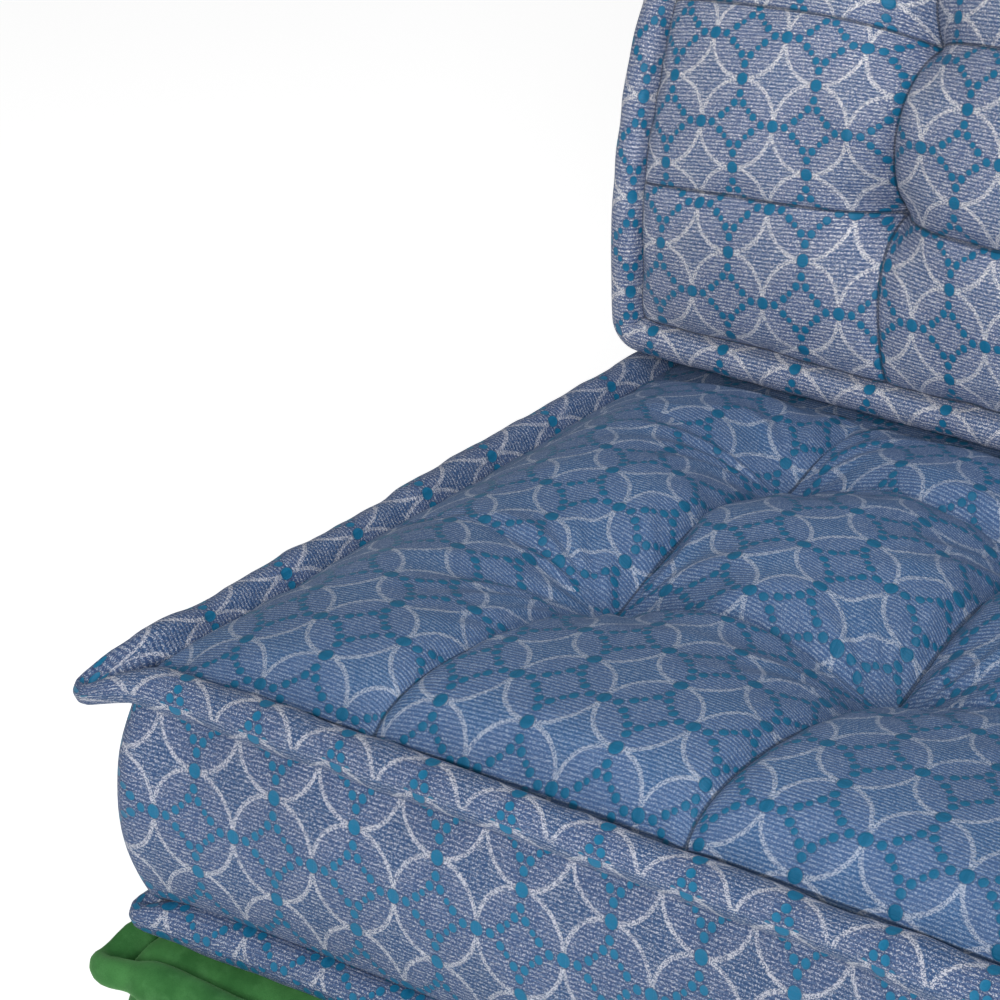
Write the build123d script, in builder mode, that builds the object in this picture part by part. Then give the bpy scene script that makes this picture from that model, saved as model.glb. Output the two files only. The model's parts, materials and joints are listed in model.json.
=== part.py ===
"""One module of a stacked cushion sofa: a base cushion, a seat cushion and a curved back cushion.

Millimetres. X runs to the right, Y to the rear, Z up. The origin is the middle of the footprint on the floor.
Every cushion is a foam block in sewn panels, with a rolled edge on each perimeter seam, tufting ties
through it and a zip at the rear.
"""
import math
import os
from build123d import *

# Footprint and stack
tuft_pitch = 186.0
side_margin = 182.0
front_margin = 215.0
tuft_columns = 4
tuft_rows = 4
free_rows = 2
cushion_height = 184.0
cushion_gap = 0.4

# Rolled edges and the outline that they follow
roll_radius = 14.0
roll_corner_radius = 14.5
lower_roll_inset = 8.0
front_hollow = 14.0
side_hollow = 8.0
panel_corner_radius = 6.0
band_corner_radius = 22.0
seam_gap = 0.3

# Sewn layers of the flat cushions
panel_thickness = 16.0
quilt_base_depth = 10.0
band_edge_inset = 9.0
band_bulge = 11.0
rear_band_inset = 9.0
dimple_radius = 17.0
dimple_depth = 5.0

# Tufted seat top: heights above the middle of its roll
crease_height = 20.0
valley_height = 30.0
crown_height = 45.0
shoulder_height = 37.5
shoulder_fall = 4.0
shoulder_crease = 14.0
groove_height = 4.0
pressed_height = 13.6
least_crown = 1.2
puff_fullness = 0.6

# Tufting ties
tie_radius = 1.5
tie_hole_radius = 2.2
knot_radius = 4.0
knot_height = 1.6
knot_gap = 0.3
knot_sink = 2.0

# Back cushion: its profile runs through the middle of the front roll
back_front_y = 6.0
back_rear_inset = 6.0
back_upright = 55.0
back_curve_radius = 350.0
back_row_margin = 111.0
back_row_pitch = 110.0
back_tuft_rows = 3
back_rear_drop = 15.0
back_top_crown = 16.0
back_side_crown = 5.0
back_side_crown_inset = 40.0
board_thickness = 12.0
board_margin = 30.0
board_clearance = 0.3

# Tufted back front: depths behind the profile
back_tuft_depth = 39.0
back_crease_depth = 12.0
back_valley_depth = 8.0
back_crown = 20.0
back_groove_depth = 6.0
back_quilt_backing = 7.0

# Zips
zip_length = 700.0
zip_tape_height = 26.0
zip_tape_thickness = 0.8
zip_chain_height = 5.0
zip_chain_thickness = 2.0
zip_chain_chamfer = 0.6
zip_stop_length = 6.0
slider_length = 13.0
slider_height = 9.6
slider_corner = 2.0
slider_wall = 1.2
slider_gap = 0.3
lug_length = 3.0
lug_height = 6.0
lug_depth = 3.6
pull_wire_radius = 0.9
pull_clearance = 0.1
pull_length = 26.0
pull_width = 9.0
pull_corner = 2.2
back_zip_height = 66.3

# Derived sizes
half_width = side_margin + tuft_pitch * (tuft_columns - 1) / 2
half_depth = front_margin + tuft_pitch * (tuft_rows - 1) / 2
tuft_xs = [tuft_pitch * (i - (tuft_columns - 1) / 2) for i in range(tuft_columns)]
tuft_ys = [tuft_pitch * (i - (tuft_rows - 1) / 2) for i in range(tuft_rows)]
panel_inset = roll_radius + seam_gap
core_inset = lower_roll_inset + panel_inset
back_quilt_depth = back_tuft_depth + back_quilt_backing
panel_half_width = half_width - panel_inset
upward = (Align.CENTER, Align.CENTER, Align.MIN)
rearward = (Align.CENTER, Align.MIN, Align.CENTER)
parts = {}


def keep(part, name):
    """Label a finished piece and list it for export."""
    part.label = name
    parts[name] = part


def outline(inset, rear_inset, corner):
    """Plan outline: front and sides drawn in by shallow arcs, rear straight, corners rounded."""
    width_share = ((half_width - inset) / half_width) ** 2
    depth_share = ((half_depth - inset) / half_depth) ** 2
    x = half_width - inset - side_hollow * (1 - depth_share)
    y = half_depth - inset - front_hollow * (1 - width_share)
    rear = half_depth - rear_inset
    waist = half_width - inset - side_hollow
    with BuildSketch() as plan:
        with BuildLine():
            ThreePointArc((-x, -y), (0, front_hollow + inset - half_depth), (x, -y))
            ThreePointArc((x, -y), (waist, 0), (x, rear))
            Line((x, rear), (-x, rear))
            ThreePointArc((-x, rear), (-waist, 0), (-x, -y))
        make_face()
        fillet(plan.vertices(), corner)
    return plan.sketch


def slab(inset, low, high):
    """A flat block of the plan outline between two heights."""
    with BuildPart() as block:
        with BuildSketch(Plane.XY.offset(low)):
            add(outline(inset, inset, panel_corner_radius))
        extrude(amount=high - low)
    return block.part


def plan_roll(inset, height):
    """A rolled edge: a round bead along the plan outline."""
    ring = outline(inset, inset, roll_corner_radius).face().outer_wire()
    path = ring.moved(Location((0, 0, height)))
    with BuildPart() as roll:
        with BuildSketch(path ^ 0):
            Circle(roll_radius)
        sweep(path=path)
    return roll.part


def side_band(low, high, core):
    """The side wall: it swells between its two seams, and its rear face is flat behind the zip."""
    steps = 6
    with BuildPart() as band:
        for i in range(steps + 1):
            share = i / steps
            inset = band_edge_inset - band_bulge * math.sin(math.pi * share)
            with BuildSketch(Plane.XY.offset(low + (high - low) * share)):
                add(outline(inset, rear_band_inset, band_corner_radius))
        loft(ruled=True)
        add(core, mode=Mode.SUBTRACT)
    return band.part


def bored(part, ys, low, high):
    """Clear a hole for every tie."""
    with BuildPart() as piece:
        add(part)
        with Locations(*[(x, y, low) for x in tuft_xs for y in ys]):
            Cylinder(tie_hole_radius, high - low, align=upward, mode=Mode.SUBTRACT)
    return piece.part


def dimpled(part, ys, face, side):
    """Press a shallow dimple round every tie, in a top face (side 1) or a bottom face (side -1)."""
    floor = face - side * dimple_depth
    with BuildPart() as piece:
        add(part)
        with Locations(*[Plane((x, y, floor), z_dir=(0, 0, side)) for x in tuft_xs for y in ys]):
            Cone(knot_radius + knot_gap, dimple_radius, dimple_depth, align=upward, mode=Mode.SUBTRACT)
    return piece.part


def tie_group(low, tops):
    """Tufting ties: a cord with a flat knot at each end. tops pairs rows with the height of their knots."""
    with BuildPart() as group:
        for ys, high in tops:
            with Locations(*[(x, y, low) for x in tuft_xs for y in ys]):
                Cylinder(tie_radius, high - low, align=upward)
                Cylinder(knot_radius, knot_height, align=upward)
            with Locations(*[(x, y, high - knot_height) for x in tuft_xs for y in ys]):
                Cylinder(knot_radius, knot_height, align=upward)
    return group.part


def puff_section(plane, edge_x, edge, crease, crown, floor):
    """One cross-section of a tufted panel: an arc over each puff, meeting at the creases."""
    xs = [-edge_x, *tuft_xs, edge_x]
    heights = [edge, *[crease] * len(tuft_xs), edge]
    with BuildSketch(plane) as section:
        with BuildLine():
            for x0, x1, h0, h1 in zip(xs, xs[1:], heights, heights[1:]):
                ThreePointArc((x0, h0), ((x0 + x1) / 2, crown), (x1, h1))
            Polyline((edge_x, edge), (edge_x, floor), (-edge_x, floor), (-edge_x, edge))
        make_face()
    return section.sketch


def fullness(share):
    """How full a puff is along its length: not at all at a tuft, most half way."""
    return math.sin(math.pi * share) ** puff_fullness


def seat_stations():
    """Places along Y with the edge, crease and crown height there, above the middle of the roll."""
    steps = 5
    stops = [panel_inset + seam_gap + front_hollow - half_depth, *tuft_ys[:free_rows]]
    stations = []
    for start, end in zip(stops, stops[1:]):
        for i in range(steps):
            full = fullness(i / steps)
            crown = valley_height + (crown_height - valley_height) * full
            crease = crease_height * full
            stations.append((start + (end - start) * i / steps, min(crease, groove_height), crease, crown))
    stations[0] = (stops[0], groove_height, groove_height, groove_height + least_crown)
    reach = back_front_y - roll_radius - stops[-1]
    stations.append((stops[-1], 0, 0, valley_height))
    stations.append((stops[-1] + reach / 3, groove_height, shoulder_crease, shoulder_height))
    stations.append((stops[-1] + reach * 2 / 3, groove_height, shoulder_crease + least_crown,
                     shoulder_height - shoulder_fall))
    pressed = (pressed_height - least_crown, pressed_height - least_crown, pressed_height)
    stations.append((stops[-1] + reach, *pressed))
    return stations


def tufted_seat_top(floor, middle):
    """The tufted top: full puffs in front, and a flat layer where the back cushion presses on it."""
    pressed_face = middle + pressed_height
    pressed_front = back_front_y - roll_radius
    sheet_top = middle - quilt_base_depth / 4
    puff_floor = -quilt_base_depth / 2
    with BuildPart() as pressed:
        add(slab(panel_inset, floor, pressed_face))
        split(bisect_by=Plane((0, pressed_front, 0), z_dir=(0, 1, 0)), keep=Keep.TOP)
    with BuildPart() as top:
        add(slab(panel_inset, floor, sheet_top))
        for y, edge, crease, crown in seat_stations():
            plane = Plane((0, y, middle), x_dir=(1, 0, 0), z_dir=(0, -1, 0))
            hollow = side_hollow * (1 - (y / half_depth) ** 2)
            add(puff_section(plane, panel_half_width - seam_gap - hollow, edge, crease, crown, puff_floor))
        loft(ruled=True)
        add(dimpled(pressed.part, tuft_ys[free_rows:], pressed_face, 1))
        with Locations(*[(x, y, middle - knot_sink) for x in tuft_xs for y in tuft_ys[:free_rows]]):
            Cylinder(knot_radius + knot_gap, crown_height, align=upward, mode=Mode.SUBTRACT)
    return top.part


def zip_set(name, rear, height):
    """Zip on a flat rear face: tape, chain, slider and the pull that hangs from the slider's lug."""
    tape_back = rear + zip_tape_thickness
    chain_back = tape_back + zip_chain_thickness
    closed = (zip_length - slider_length) / 2 - zip_stop_length - slider_gap
    plate = chain_back + slider_gap
    plate_back = plate + slider_wall
    pivot_y = plate_back + lug_depth / 2
    with BuildPart() as tape:
        with Locations((0, rear, height)):
            Box(zip_length, zip_tape_thickness, zip_tape_height, align=rearward)
    with BuildPart() as chain:
        with Locations((0, tape_back, height)):
            Box(zip_length - zip_stop_length, zip_chain_thickness, zip_chain_height, align=rearward)
        chamfer(chain.faces().sort_by(Axis.Y)[-1].edges().filter_by(Axis.X), zip_chain_chamfer)
        with Locations((zip_length / 2 - zip_stop_length / 2, tape_back, height),
                       (zip_stop_length / 2 - zip_length / 2, tape_back, height)):
            Box(zip_stop_length, zip_chain_thickness, slider_height, align=rearward)
    with BuildPart() as slider:
        with BuildSketch(Plane((closed, plate_back, height), x_dir=(1, 0, 0), z_dir=(0, -1, 0))):
            RectangleRounded(slider_length, slider_height, slider_corner)
        extrude(amount=plate_back - tape_back - slider_gap)
        with Locations((closed, tape_back + slider_gap, height)):
            Box(slider_length, plate - tape_back - slider_gap, zip_chain_height + 2 * slider_gap,
                align=rearward, mode=Mode.SUBTRACT)
        with Locations((closed, plate_back, height)):
            Box(lug_length, lug_depth, lug_height, align=rearward)
        with BuildSketch(Plane((closed - lug_length / 2, pivot_y, height), z_dir=(1, 0, 0))):
            Circle(pull_wire_radius + pull_clearance)
        extrude(amount=lug_length, mode=Mode.SUBTRACT)
    with BuildPart() as pull:
        with BuildLine(Plane((closed, pivot_y, height), x_dir=(1, 0, 0), z_dir=(0, -1, 0))) as ring:
            Polyline((-pull_width / 2, 0), (pull_width / 2, 0), (pull_width / 2, -pull_length),
                     (-pull_width / 2, -pull_length), close=True)
            fillet(ring.vertices(), pull_corner)
        with BuildSketch(ring.wire() ^ 0):
            Circle(pull_wire_radius)
        sweep(path=ring.wire())
    keep(tape.part, name + "_zip_tape")
    keep(chain.part, name + "_zip_chain")
    keep(slider.part, name + "_zip_slider")
    keep(pull.part, name + "_zip_pull")


def flat_cushion(name, floor, tufted_top):
    """A boxed mattress cushion between two rolled edges. Its top is tufted, or pressed flat."""
    low = floor + roll_radius
    high = floor + cushion_height - roll_radius
    top_face = floor + cushion_height
    top_floor = high - quilt_base_depth if tufted_top else top_face - panel_thickness
    bottom_top = floor + panel_thickness
    core = slab(core_inset, bottom_top, top_floor)
    bottom = dimpled(slab(core_inset, floor, bottom_top), tuft_ys, floor, -1)
    if tufted_top:
        top = tufted_seat_top(top_floor, high)
        tops = [(tuft_ys[:free_rows], high - knot_sink + knot_height),
                (tuft_ys[free_rows:], high + pressed_height - dimple_depth + knot_height)]
    else:
        top = dimpled(slab(panel_inset, top_floor, top_face), tuft_ys, top_face, 1)
        tops = [(tuft_ys, top_face - dimple_depth + knot_height)]
    keep(bored(core, tuft_ys, floor, top_face), name + "_core")
    keep(bored(bottom, tuft_ys, floor, top_face), name + "_bottom_panel")
    keep(bored(top, tuft_ys, floor, top_face), name + "_top_panel")
    keep(side_band(low + panel_inset, high - panel_inset, core), name + "_side_band")
    keep(plan_roll(lower_roll_inset, low), name + "_bottom_roll")
    keep(plan_roll(0, high), name + "_top_roll")
    keep(tie_group(floor + dimple_depth - knot_height, tops), name + "_tufting_ties")
    zip_set(name, half_depth - rear_band_inset, (low + high) / 2)


seat_floor = cushion_height + cushion_gap
back_floor = seat_floor + cushion_height + cushion_gap
flat_cushion("base", 0, False)
flat_cushion("seat", seat_floor, True)

# Back cushion: places on its side profile
roll_z = back_floor + roll_radius
curve_z = roll_z + back_upright
curve_y = back_front_y + back_curve_radius
profile_length = back_row_margin + back_row_pitch * back_tuft_rows
top_angle = (profile_length - back_upright) / back_curve_radius
rear_y = half_depth - back_rear_inset
top_y = curve_y - back_curve_radius * math.cos(top_angle)
top_z = roll_z + back_upright + back_curve_radius * math.sin(top_angle)
rear_top_z = top_z - back_rear_drop
core_floor = back_floor + panel_thickness
core_rear = rear_y - panel_thickness
core_top = curve_z + (back_curve_radius - back_quilt_depth) * math.sin(top_angle)


def profile_point(along, depth):
    """Y and Z of a place on the profile, at a length along it and a depth behind it."""
    if along <= back_upright:
        return back_front_y + depth, roll_z + along
    turn = (along - back_upright) / back_curve_radius
    reach = back_curve_radius - depth
    return curve_y - reach * math.cos(turn), curve_z + reach * math.sin(turn)


def profile_plane(along):
    """A plane square to the profile: X to the right and Y out of the front of the cushion."""
    turn = max(0, along - back_upright) / back_curve_radius
    y, z = profile_point(along, 0)
    return Plane((0, y, z), x_dir=(1, 0, 0), z_dir=(0, -math.sin(turn), -math.cos(turn)))


def arc_place(reach, turn):
    """Y and Z of a place on a circle about the centre of the front curve."""
    return curve_y - reach * math.cos(turn), curve_z + reach * math.sin(turn)


def side_face(x, depth, inset):
    """The shape of the cushion's side at one X, behind the front roll by a depth and drawn in by an inset."""
    front = back_front_y + depth + inset
    reach = back_curve_radius - depth - inset
    rear = core_rear - inset
    low = core_floor + inset
    turn = math.asin((core_top - inset - curve_z) / reach)
    crest = arc_place(reach, turn)
    with BuildSketch(Plane.YZ.offset(x)) as side:
        with BuildLine():
            Line((front, low), (front, curve_z))
            ThreePointArc((front, curve_z), arc_place(reach, turn / 2), crest)
            Polyline(crest, (rear, crest[1]), (rear, low), (front, low))
        make_face()
    return side.sketch


def back_core_block():
    """The foam block behind the quilted front, with a pocket for its base board and bores for the ties."""
    half = half_width - panel_inset
    with BuildPart() as block:
        add(side_face(-half, back_quilt_depth, 0))
        extrude(amount=2 * half, dir=(1, 0, 0))
        add(board_block(board_clearance), mode=Mode.SUBTRACT)
        with Locations(*[Plane((x, y, z), z_dir=(0, 1, 0)) for x in tuft_xs for y, z in back_tufts]):
            Cylinder(tie_hole_radius, core_rear, align=upward, mode=Mode.SUBTRACT)
        with Locations(*[Plane((x, core_rear, z), z_dir=(0, -1, 0)) for x in tuft_xs for y, z in back_tufts]):
            Cylinder(knot_radius + knot_gap, knot_height, align=upward, mode=Mode.SUBTRACT)
    return block.part


def board_block(clearance):
    """The base board that keeps the bottom of the cushion flat."""
    front = back_front_y + back_quilt_depth + board_margin - clearance
    with BuildPart() as board:
        with Locations((0, front, core_floor)):
            Box(2 * (half_width - panel_inset - board_margin + clearance),
                core_rear - board_margin + clearance - front, board_thickness + clearance,
                align=(Align.CENTER, Align.MIN, Align.MIN))
        fillet(board.edges().filter_by(Axis.Z), panel_corner_radius)
    return board.part


def back_stations():
    """Lengths along the profile with the edge, crease and crown depth there, outward positive."""
    steps = 5
    stops = [panel_inset, *back_rows, profile_length - panel_inset]
    stations = []
    for start, end in zip(stops, stops[1:]):
        for i in range(steps):
            full = fullness(i / steps)
            crease = -back_tuft_depth + (back_tuft_depth - back_crease_depth) * full
            crown = -back_valley_depth + (back_crown + back_valley_depth) * full
            stations.append((start + (end - start) * i / steps, crease, crown))
    groove = (-back_groove_depth, -back_groove_depth + least_crown)
    stations[0] = (stops[0], *groove)
    stations.append((stops[-1], *groove))
    return stations


def tufted_back_front():
    """The tufted front, laid along the profile."""
    with BuildPart() as front:
        for along, crease, crown in back_stations():
            edge = min(-back_groove_depth, crease + back_crease_depth)
            add(puff_section(profile_plane(along), panel_half_width, edge, crease, crown,
                             2 * seam_gap - back_quilt_depth))
        loft(ruled=True)
        spots = [Plane((x, y + knot_sink, z), z_dir=(0, -1, 0)) for x in tuft_xs for y, z in back_tufts]
        with Locations(*spots):
            Cylinder(knot_radius + knot_gap, back_quilt_depth + back_crown, align=upward, mode=Mode.SUBTRACT)
            Cylinder(tie_hole_radius, 2 * back_quilt_depth, mode=Mode.SUBTRACT)
    return front.part


def side_panel(sign):
    """One D-shaped side, swelling outwards in the middle."""
    inner = sign * (half_width - panel_inset + seam_gap)
    seam = sign * (half_width - roll_radius / 2)
    crown = sign * (half_width - roll_radius / 2 + back_side_crown)
    with BuildPart() as side:
        for x, inset in ((inner, 0), (seam, 0), (crown, back_side_crown_inset)):
            add(side_face(x, panel_inset, inset))
        loft(ruled=True)
    return side.part


def back_ties():
    """Tufting ties that run straight back through the foam."""
    with BuildPart() as group:
        for y, z in back_tufts:
            face = y + knot_sink
            with Locations(*[Plane((x, face - knot_height, z), z_dir=(0, 1, 0)) for x in tuft_xs]):
                Cylinder(knot_radius, knot_height, align=upward)
                Cylinder(tie_radius, core_rear - face + knot_height, align=upward)
            with Locations(*[Plane((x, core_rear, z), z_dir=(0, -1, 0)) for x in tuft_xs]):
                Cylinder(knot_radius, knot_height, align=upward)
    return group.part


def front_roll():
    """The front rolled edge: along the bottom, up the curved sides and across the top."""
    bend = roll_corner_radius
    end_turn = top_angle - bend / back_curve_radius
    slant = 1 - math.sqrt(1 / 2)
    side = half_width
    mid = arc_place(back_curve_radius, end_turn / 2)
    end = arc_place(back_curve_radius, end_turn)
    step = (math.sin(end_turn), math.cos(end_turn))
    rise = bend * (1 - slant)
    near = (end[0] + rise * step[0], end[1] + rise * step[1])
    far = (end[0] + bend * step[0], end[1] + bend * step[1])
    start = (0, back_front_y, roll_z)
    runs = [
        ((side - bend, back_front_y, roll_z),),
        ((side - bend * slant, back_front_y, roll_z + bend * slant), (side, back_front_y, roll_z + bend)),
        ((side, back_front_y, curve_z),),
        ((side, *mid), (side, *end)),
        ((side - bend * slant, *near), (side - bend, *far)),
        ((0, *far),),
    ]
    edges = []
    for run in runs:
        edges.append(Line(start, run[-1]) if len(run) == 1 else ThreePointArc(start, *run))
        start = run[-1]
    half = Wire(edges)
    with BuildPart() as bead:
        with BuildSketch(Plane((0, back_front_y, roll_z), z_dir=(1, 0, 0))):
            Circle(roll_radius)
        sweep(path=half)
        mirror(about=Plane.YZ)
    return bead.part


def rear_roll():
    """The rear rolled edge: a rounded rectangle round the flat rear panel."""
    middle = (roll_z + rear_top_z) / 2
    with BuildSketch(Plane((0, rear_y, middle), x_dir=(1, 0, 0), z_dir=(0, -1, 0))) as frame:
        RectangleRounded(2 * half_width, rear_top_z - roll_z, roll_corner_radius)
    path = frame.sketch.face().outer_wire()
    with BuildPart() as bead:
        with BuildSketch(path ^ 0):
            Circle(roll_radius)
        sweep(path=path)
    return bead.part


def rear_panel():
    """The flat rear panel inside its roll, slightly crowned above the zip."""
    low = roll_z + panel_inset
    high = rear_top_z - panel_inset
    with BuildPart() as panel:
        with BuildSketch(Plane((0, core_rear, (low + high) / 2), x_dir=(1, 0, 0), z_dir=(0, -1, 0))):
            RectangleRounded(2 * panel_half_width, high - low, panel_corner_radius)
        extrude(amount=-(rear_y - core_rear))
    return panel.part


def top_band():
    """The crowned strip between the front and rear rolls, over the foam and both sides."""
    front = top_y + panel_inset + seam_gap
    rear = core_rear - seam_gap
    with BuildPart() as band:
        with BuildSketch(Plane.YZ.offset(-half_width)):
            with BuildLine():
                ThreePointArc((front, top_z - roll_radius / 2),
                              ((front + rear) / 2, (top_z + rear_top_z) / 2 + back_top_crown),
                              (rear, rear_top_z - roll_radius / 2))
                Polyline((rear, rear_top_z - roll_radius / 2), (rear, core_top), (front, core_top),
                         (front, top_z - roll_radius / 2))
            make_face()
        extrude(amount=2 * half_width)
    return band.part


back_rows = [back_row_margin + back_row_pitch * i for i in range(back_tuft_rows)]
back_tufts = [profile_point(along, back_tuft_depth) for along in back_rows]
with BuildPart() as bottom_panel:
    with Locations((0, back_front_y + roll_radius + seam_gap, back_floor)):
        Box(2 * half_width, rear_y - back_front_y - 2 * panel_inset, panel_thickness,
            align=(Align.CENTER, Align.MIN, Align.MIN))
    fillet(bottom_panel.edges().filter_by(Axis.Z), panel_corner_radius)
keep(back_core_block(), "back_core")
keep(board_block(0), "back_base_board")
keep(tufted_back_front(), "back_front_panel")
keep(side_panel(-1), "back_left_side")
keep(side_panel(1), "back_right_side")
keep(top_band(), "back_top_band")
keep(rear_panel(), "back_rear_panel")
keep(bottom_panel.part, "back_bottom_panel")
keep(front_roll(), "back_front_roll")
keep(rear_roll(), "back_rear_roll")
keep(back_ties(), "back_tufting_ties")
zip_set("back", rear_y, roll_z + back_zip_height)

os.makedirs("parts", exist_ok=True)
for name, part in parts.items():
    export_step(part, "parts/" + name + ".step")
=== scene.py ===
"""Looks for one module of a stacked cushion sofa: blue jacquard seat and back on a green velvet base.

Metres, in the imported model's frame: X right, Y to the rear, Z up. Cloth panels are dense grids that carry a
"cloth" UV map in metres, so that the weave and its pattern keep their real size.
"""
import json
import math

import bmesh
import bpy
import numpy as np
from mathutils import Matrix, Vector


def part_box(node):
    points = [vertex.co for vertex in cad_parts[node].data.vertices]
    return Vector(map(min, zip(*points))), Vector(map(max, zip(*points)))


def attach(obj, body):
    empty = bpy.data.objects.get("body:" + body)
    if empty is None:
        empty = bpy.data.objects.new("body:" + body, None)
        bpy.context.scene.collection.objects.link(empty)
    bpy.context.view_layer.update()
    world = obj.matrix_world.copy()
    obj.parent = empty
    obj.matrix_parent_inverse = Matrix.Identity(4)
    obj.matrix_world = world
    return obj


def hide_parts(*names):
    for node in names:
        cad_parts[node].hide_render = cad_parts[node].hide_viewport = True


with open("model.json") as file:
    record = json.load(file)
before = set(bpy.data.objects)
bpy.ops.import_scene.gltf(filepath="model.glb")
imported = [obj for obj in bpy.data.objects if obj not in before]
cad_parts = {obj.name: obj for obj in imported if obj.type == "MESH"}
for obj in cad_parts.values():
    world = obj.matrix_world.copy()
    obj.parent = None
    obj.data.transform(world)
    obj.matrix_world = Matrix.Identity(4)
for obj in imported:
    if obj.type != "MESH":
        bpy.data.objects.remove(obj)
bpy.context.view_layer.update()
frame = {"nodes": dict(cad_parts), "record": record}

# Sizes that the part's source also has
half_width = 0.461
half_depth = 0.494
roll_radius = 0.014
seam_inset = 0.0143
lower_roll_inset = 0.008
front_hollow = 0.014
side_hollow = 0.008
tuft_places = (-0.279, -0.093, 0.093, 0.279)
base_rolls = (0.014, 0.170)
seat_rolls = (0.1984, 0.3544)
base_top_face = 0.184
seat_underside = 0.1844
seat_foam_top = 0.3444
pressed_rise = 0.0136
back_front_y = 0.006
back_roll_z = 0.3828
back_upright = 0.055
back_curve_radius = 0.350
back_row_margin = 0.111
back_row_pitch = 0.110
profile_length = 0.441
back_quilt_depth = 0.046
rear_y = 0.488
rear_top_z = 0.7352
back_core_top = 0.7091
panel_layer = 0.016
curve_y = back_front_y + back_curve_radius
curve_z = back_roll_z + back_upright

# Sizes of the looks alone: panels that run in under their rolls, and seams that have settled
tucked_inset = 0.0095
side_edge = 0.4495
side_tuck = 0.008
shoulder_drop = 0.0046
shoulder_rise = 0.012
roll_slack = 0.0008
seam_spread = 0.015
seam_width = 0.006
seam_sag = 0.009
seam_lean = 0.017
back_tuft_rows = [back_row_margin + back_row_pitch * k + up for k, up in enumerate((0.004, 0.010, 0.008))]
steps_around = 28

# Cloth simulation
cloth_pressure = 0.8
cloth_slack = 0.008
cloth_frames = 16
cloth_cap = 0.004

# Jacquard repeat and its place on the cloth of the front band
repeat_across = 0.0546
repeat_along = 0.064
band_phase = (-0.4077, 0.3446)

# How the pattern lies on the puffs that the photograph shows, by column and row, as puff_patterns has it
seat_pattern = {
    (0, 0): (0.0629, 0.0022, -0.3857, -0.0032, 0.0568, -0.3807),
    (1, 0): (0.0511, -0.0029, -0.1824, 0.0030, 0.0623, -0.3862),
    (0, 1): (0.0525, 0.0036, -0.3386, 0.0031, 0.0560, -0.1658),
    (1, 1): (0.0590, 0.0040, -0.2620, -0.0040, 0.0500, -0.1519),
}
back_pattern = {
    (0, 0): (0.0503, 0.0033, -0.4067, 0.0027, 0.0591, -0.1251),
    (0, 1): (0.0498, -0.0029, -0.4133, 0.0024, 0.0531, -0.0202),
    (1, 0): (0.0545, 0.0020, -0.2505, 0.0, 0.0550, -0.1188),
    (1, 1): (0.0560, -0.0030, -0.2579, 0.0, 0.0540, -0.0124),
}


# Shape helpers
def lattice(cells, seed):
    """Repeatable values from -1 to 1 at whole-number cells."""
    value = np.sin(cells @ np.array([127.1, 311.7, 74.7]) + seed * 53.3) * 43758.5453
    return 2 * (value - np.floor(value)) - 1


def wander(points, scale, seed):
    """Smooth noise from -1 to 1 at points, with lumps of about one scale."""
    places = np.asarray(points, float) / scale
    base = np.floor(places)
    part = places - base
    part = part * part * (3 - 2 * part)
    total = np.zeros(places.shape[:-1])
    for corner in np.ndindex(2, 2, 2):
        weight = np.prod(np.where(np.array(corner) == 1, part, 1 - part), axis=-1)
        total += weight * lattice(base + corner, seed)
    return total


def lumps(points, seed, *levels):
    """Lumps of several heights and scales, added up."""
    return sum(height * wander(points, scale, seed + k) for k, (height, scale) in enumerate(levels))


def stacked(*parts):
    """Points from their coordinates, which may be arrays or numbers."""
    return np.stack(np.broadcast_arrays(*parts), axis=-1)


def arch(share, power=0.6):
    """How full a puff is along its length: 0 at both ends, 1 half way."""
    return np.sin(np.pi * np.clip(share, 0, 1)) ** power


def shares(count, crowding=0.45):
    """Places from 0 to 1 that stand closer together near both ends."""
    even = np.linspace(0, 1, count + 1)
    return even - crowding * np.sin(2 * np.pi * even) / (2 * np.pi)


def stations(counts, crowding=0.45):
    """Grid places that count through cells of the given numbers of steps, crowded at their ends."""
    parts = [i + shares(n, crowding)[:-1] for i, n in enumerate(counts)]
    return np.concatenate(parts + [[len(counts)]])


def first_cell(counted):
    """1 at the start of a line of cells, 0 from the end of its first cell on."""
    return np.clip(1 - counted, 0, 1)


def end_cells(counted):
    """1 at both ends of a line of cells, 0 from its second cell to its last but one."""
    return np.clip(np.maximum(1 - counted, counted - counted[-1] + 1), 0, 1)


def between(stops, places):
    """The value at each place, where whole numbers count through the stops."""
    return np.interp(places, np.arange(len(stops)), stops)


def run_length(points):
    """Distance along a line of points."""
    steps = np.linalg.norm(np.diff(points, axis=0), axis=1)
    return np.concatenate([[0], np.cumsum(steps)])


def cloth_run(places, counts, height, cells):
    """Cloth coordinate along a grid line, with the length that it takes over the crown of each puff."""
    run = np.zeros(len(places))
    total = 0.0
    for i in range(cells):
        chosen = np.flatnonzero((counts >= i) & (counts <= i + 1))
        crest = height[:, chosen].max(axis=0)
        length = run_length(stacked(places[chosen], crest))
        run[chosen] = total + length
        total += length[-1]
    return run - run[len(run) // 2]


def nearest(x, y, spots):
    """Distance to the nearest of some spots."""
    return np.min([np.hypot(x - px, y - py) for px, py in spots], axis=0)


def crossings(columns, rows):
    """Every tuft where columns and rows cross."""
    return [(px, py) for px in columns for py in rows]


def risen(gap, reach, power):
    """How far padded cloth has risen at a distance in from its edge seam: 0 there and 1 far from it."""
    return 1 - np.exp(-(np.maximum(gap, 0) / reach) ** power)


def funnels(x, y, spots, reach, power, pinch=0.07):
    """Share of its height that cloth keeps near tufts: less than 0 at each tuft and 1 far from all."""
    total = sum(np.maximum(np.hypot(x - px, y - py), 1e-4) ** -6.0 for px, py in spots)
    return risen(total ** (-1 / 6), reach, power) - pinch * np.exp(-nearest(x, y, spots) / 0.006)


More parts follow.
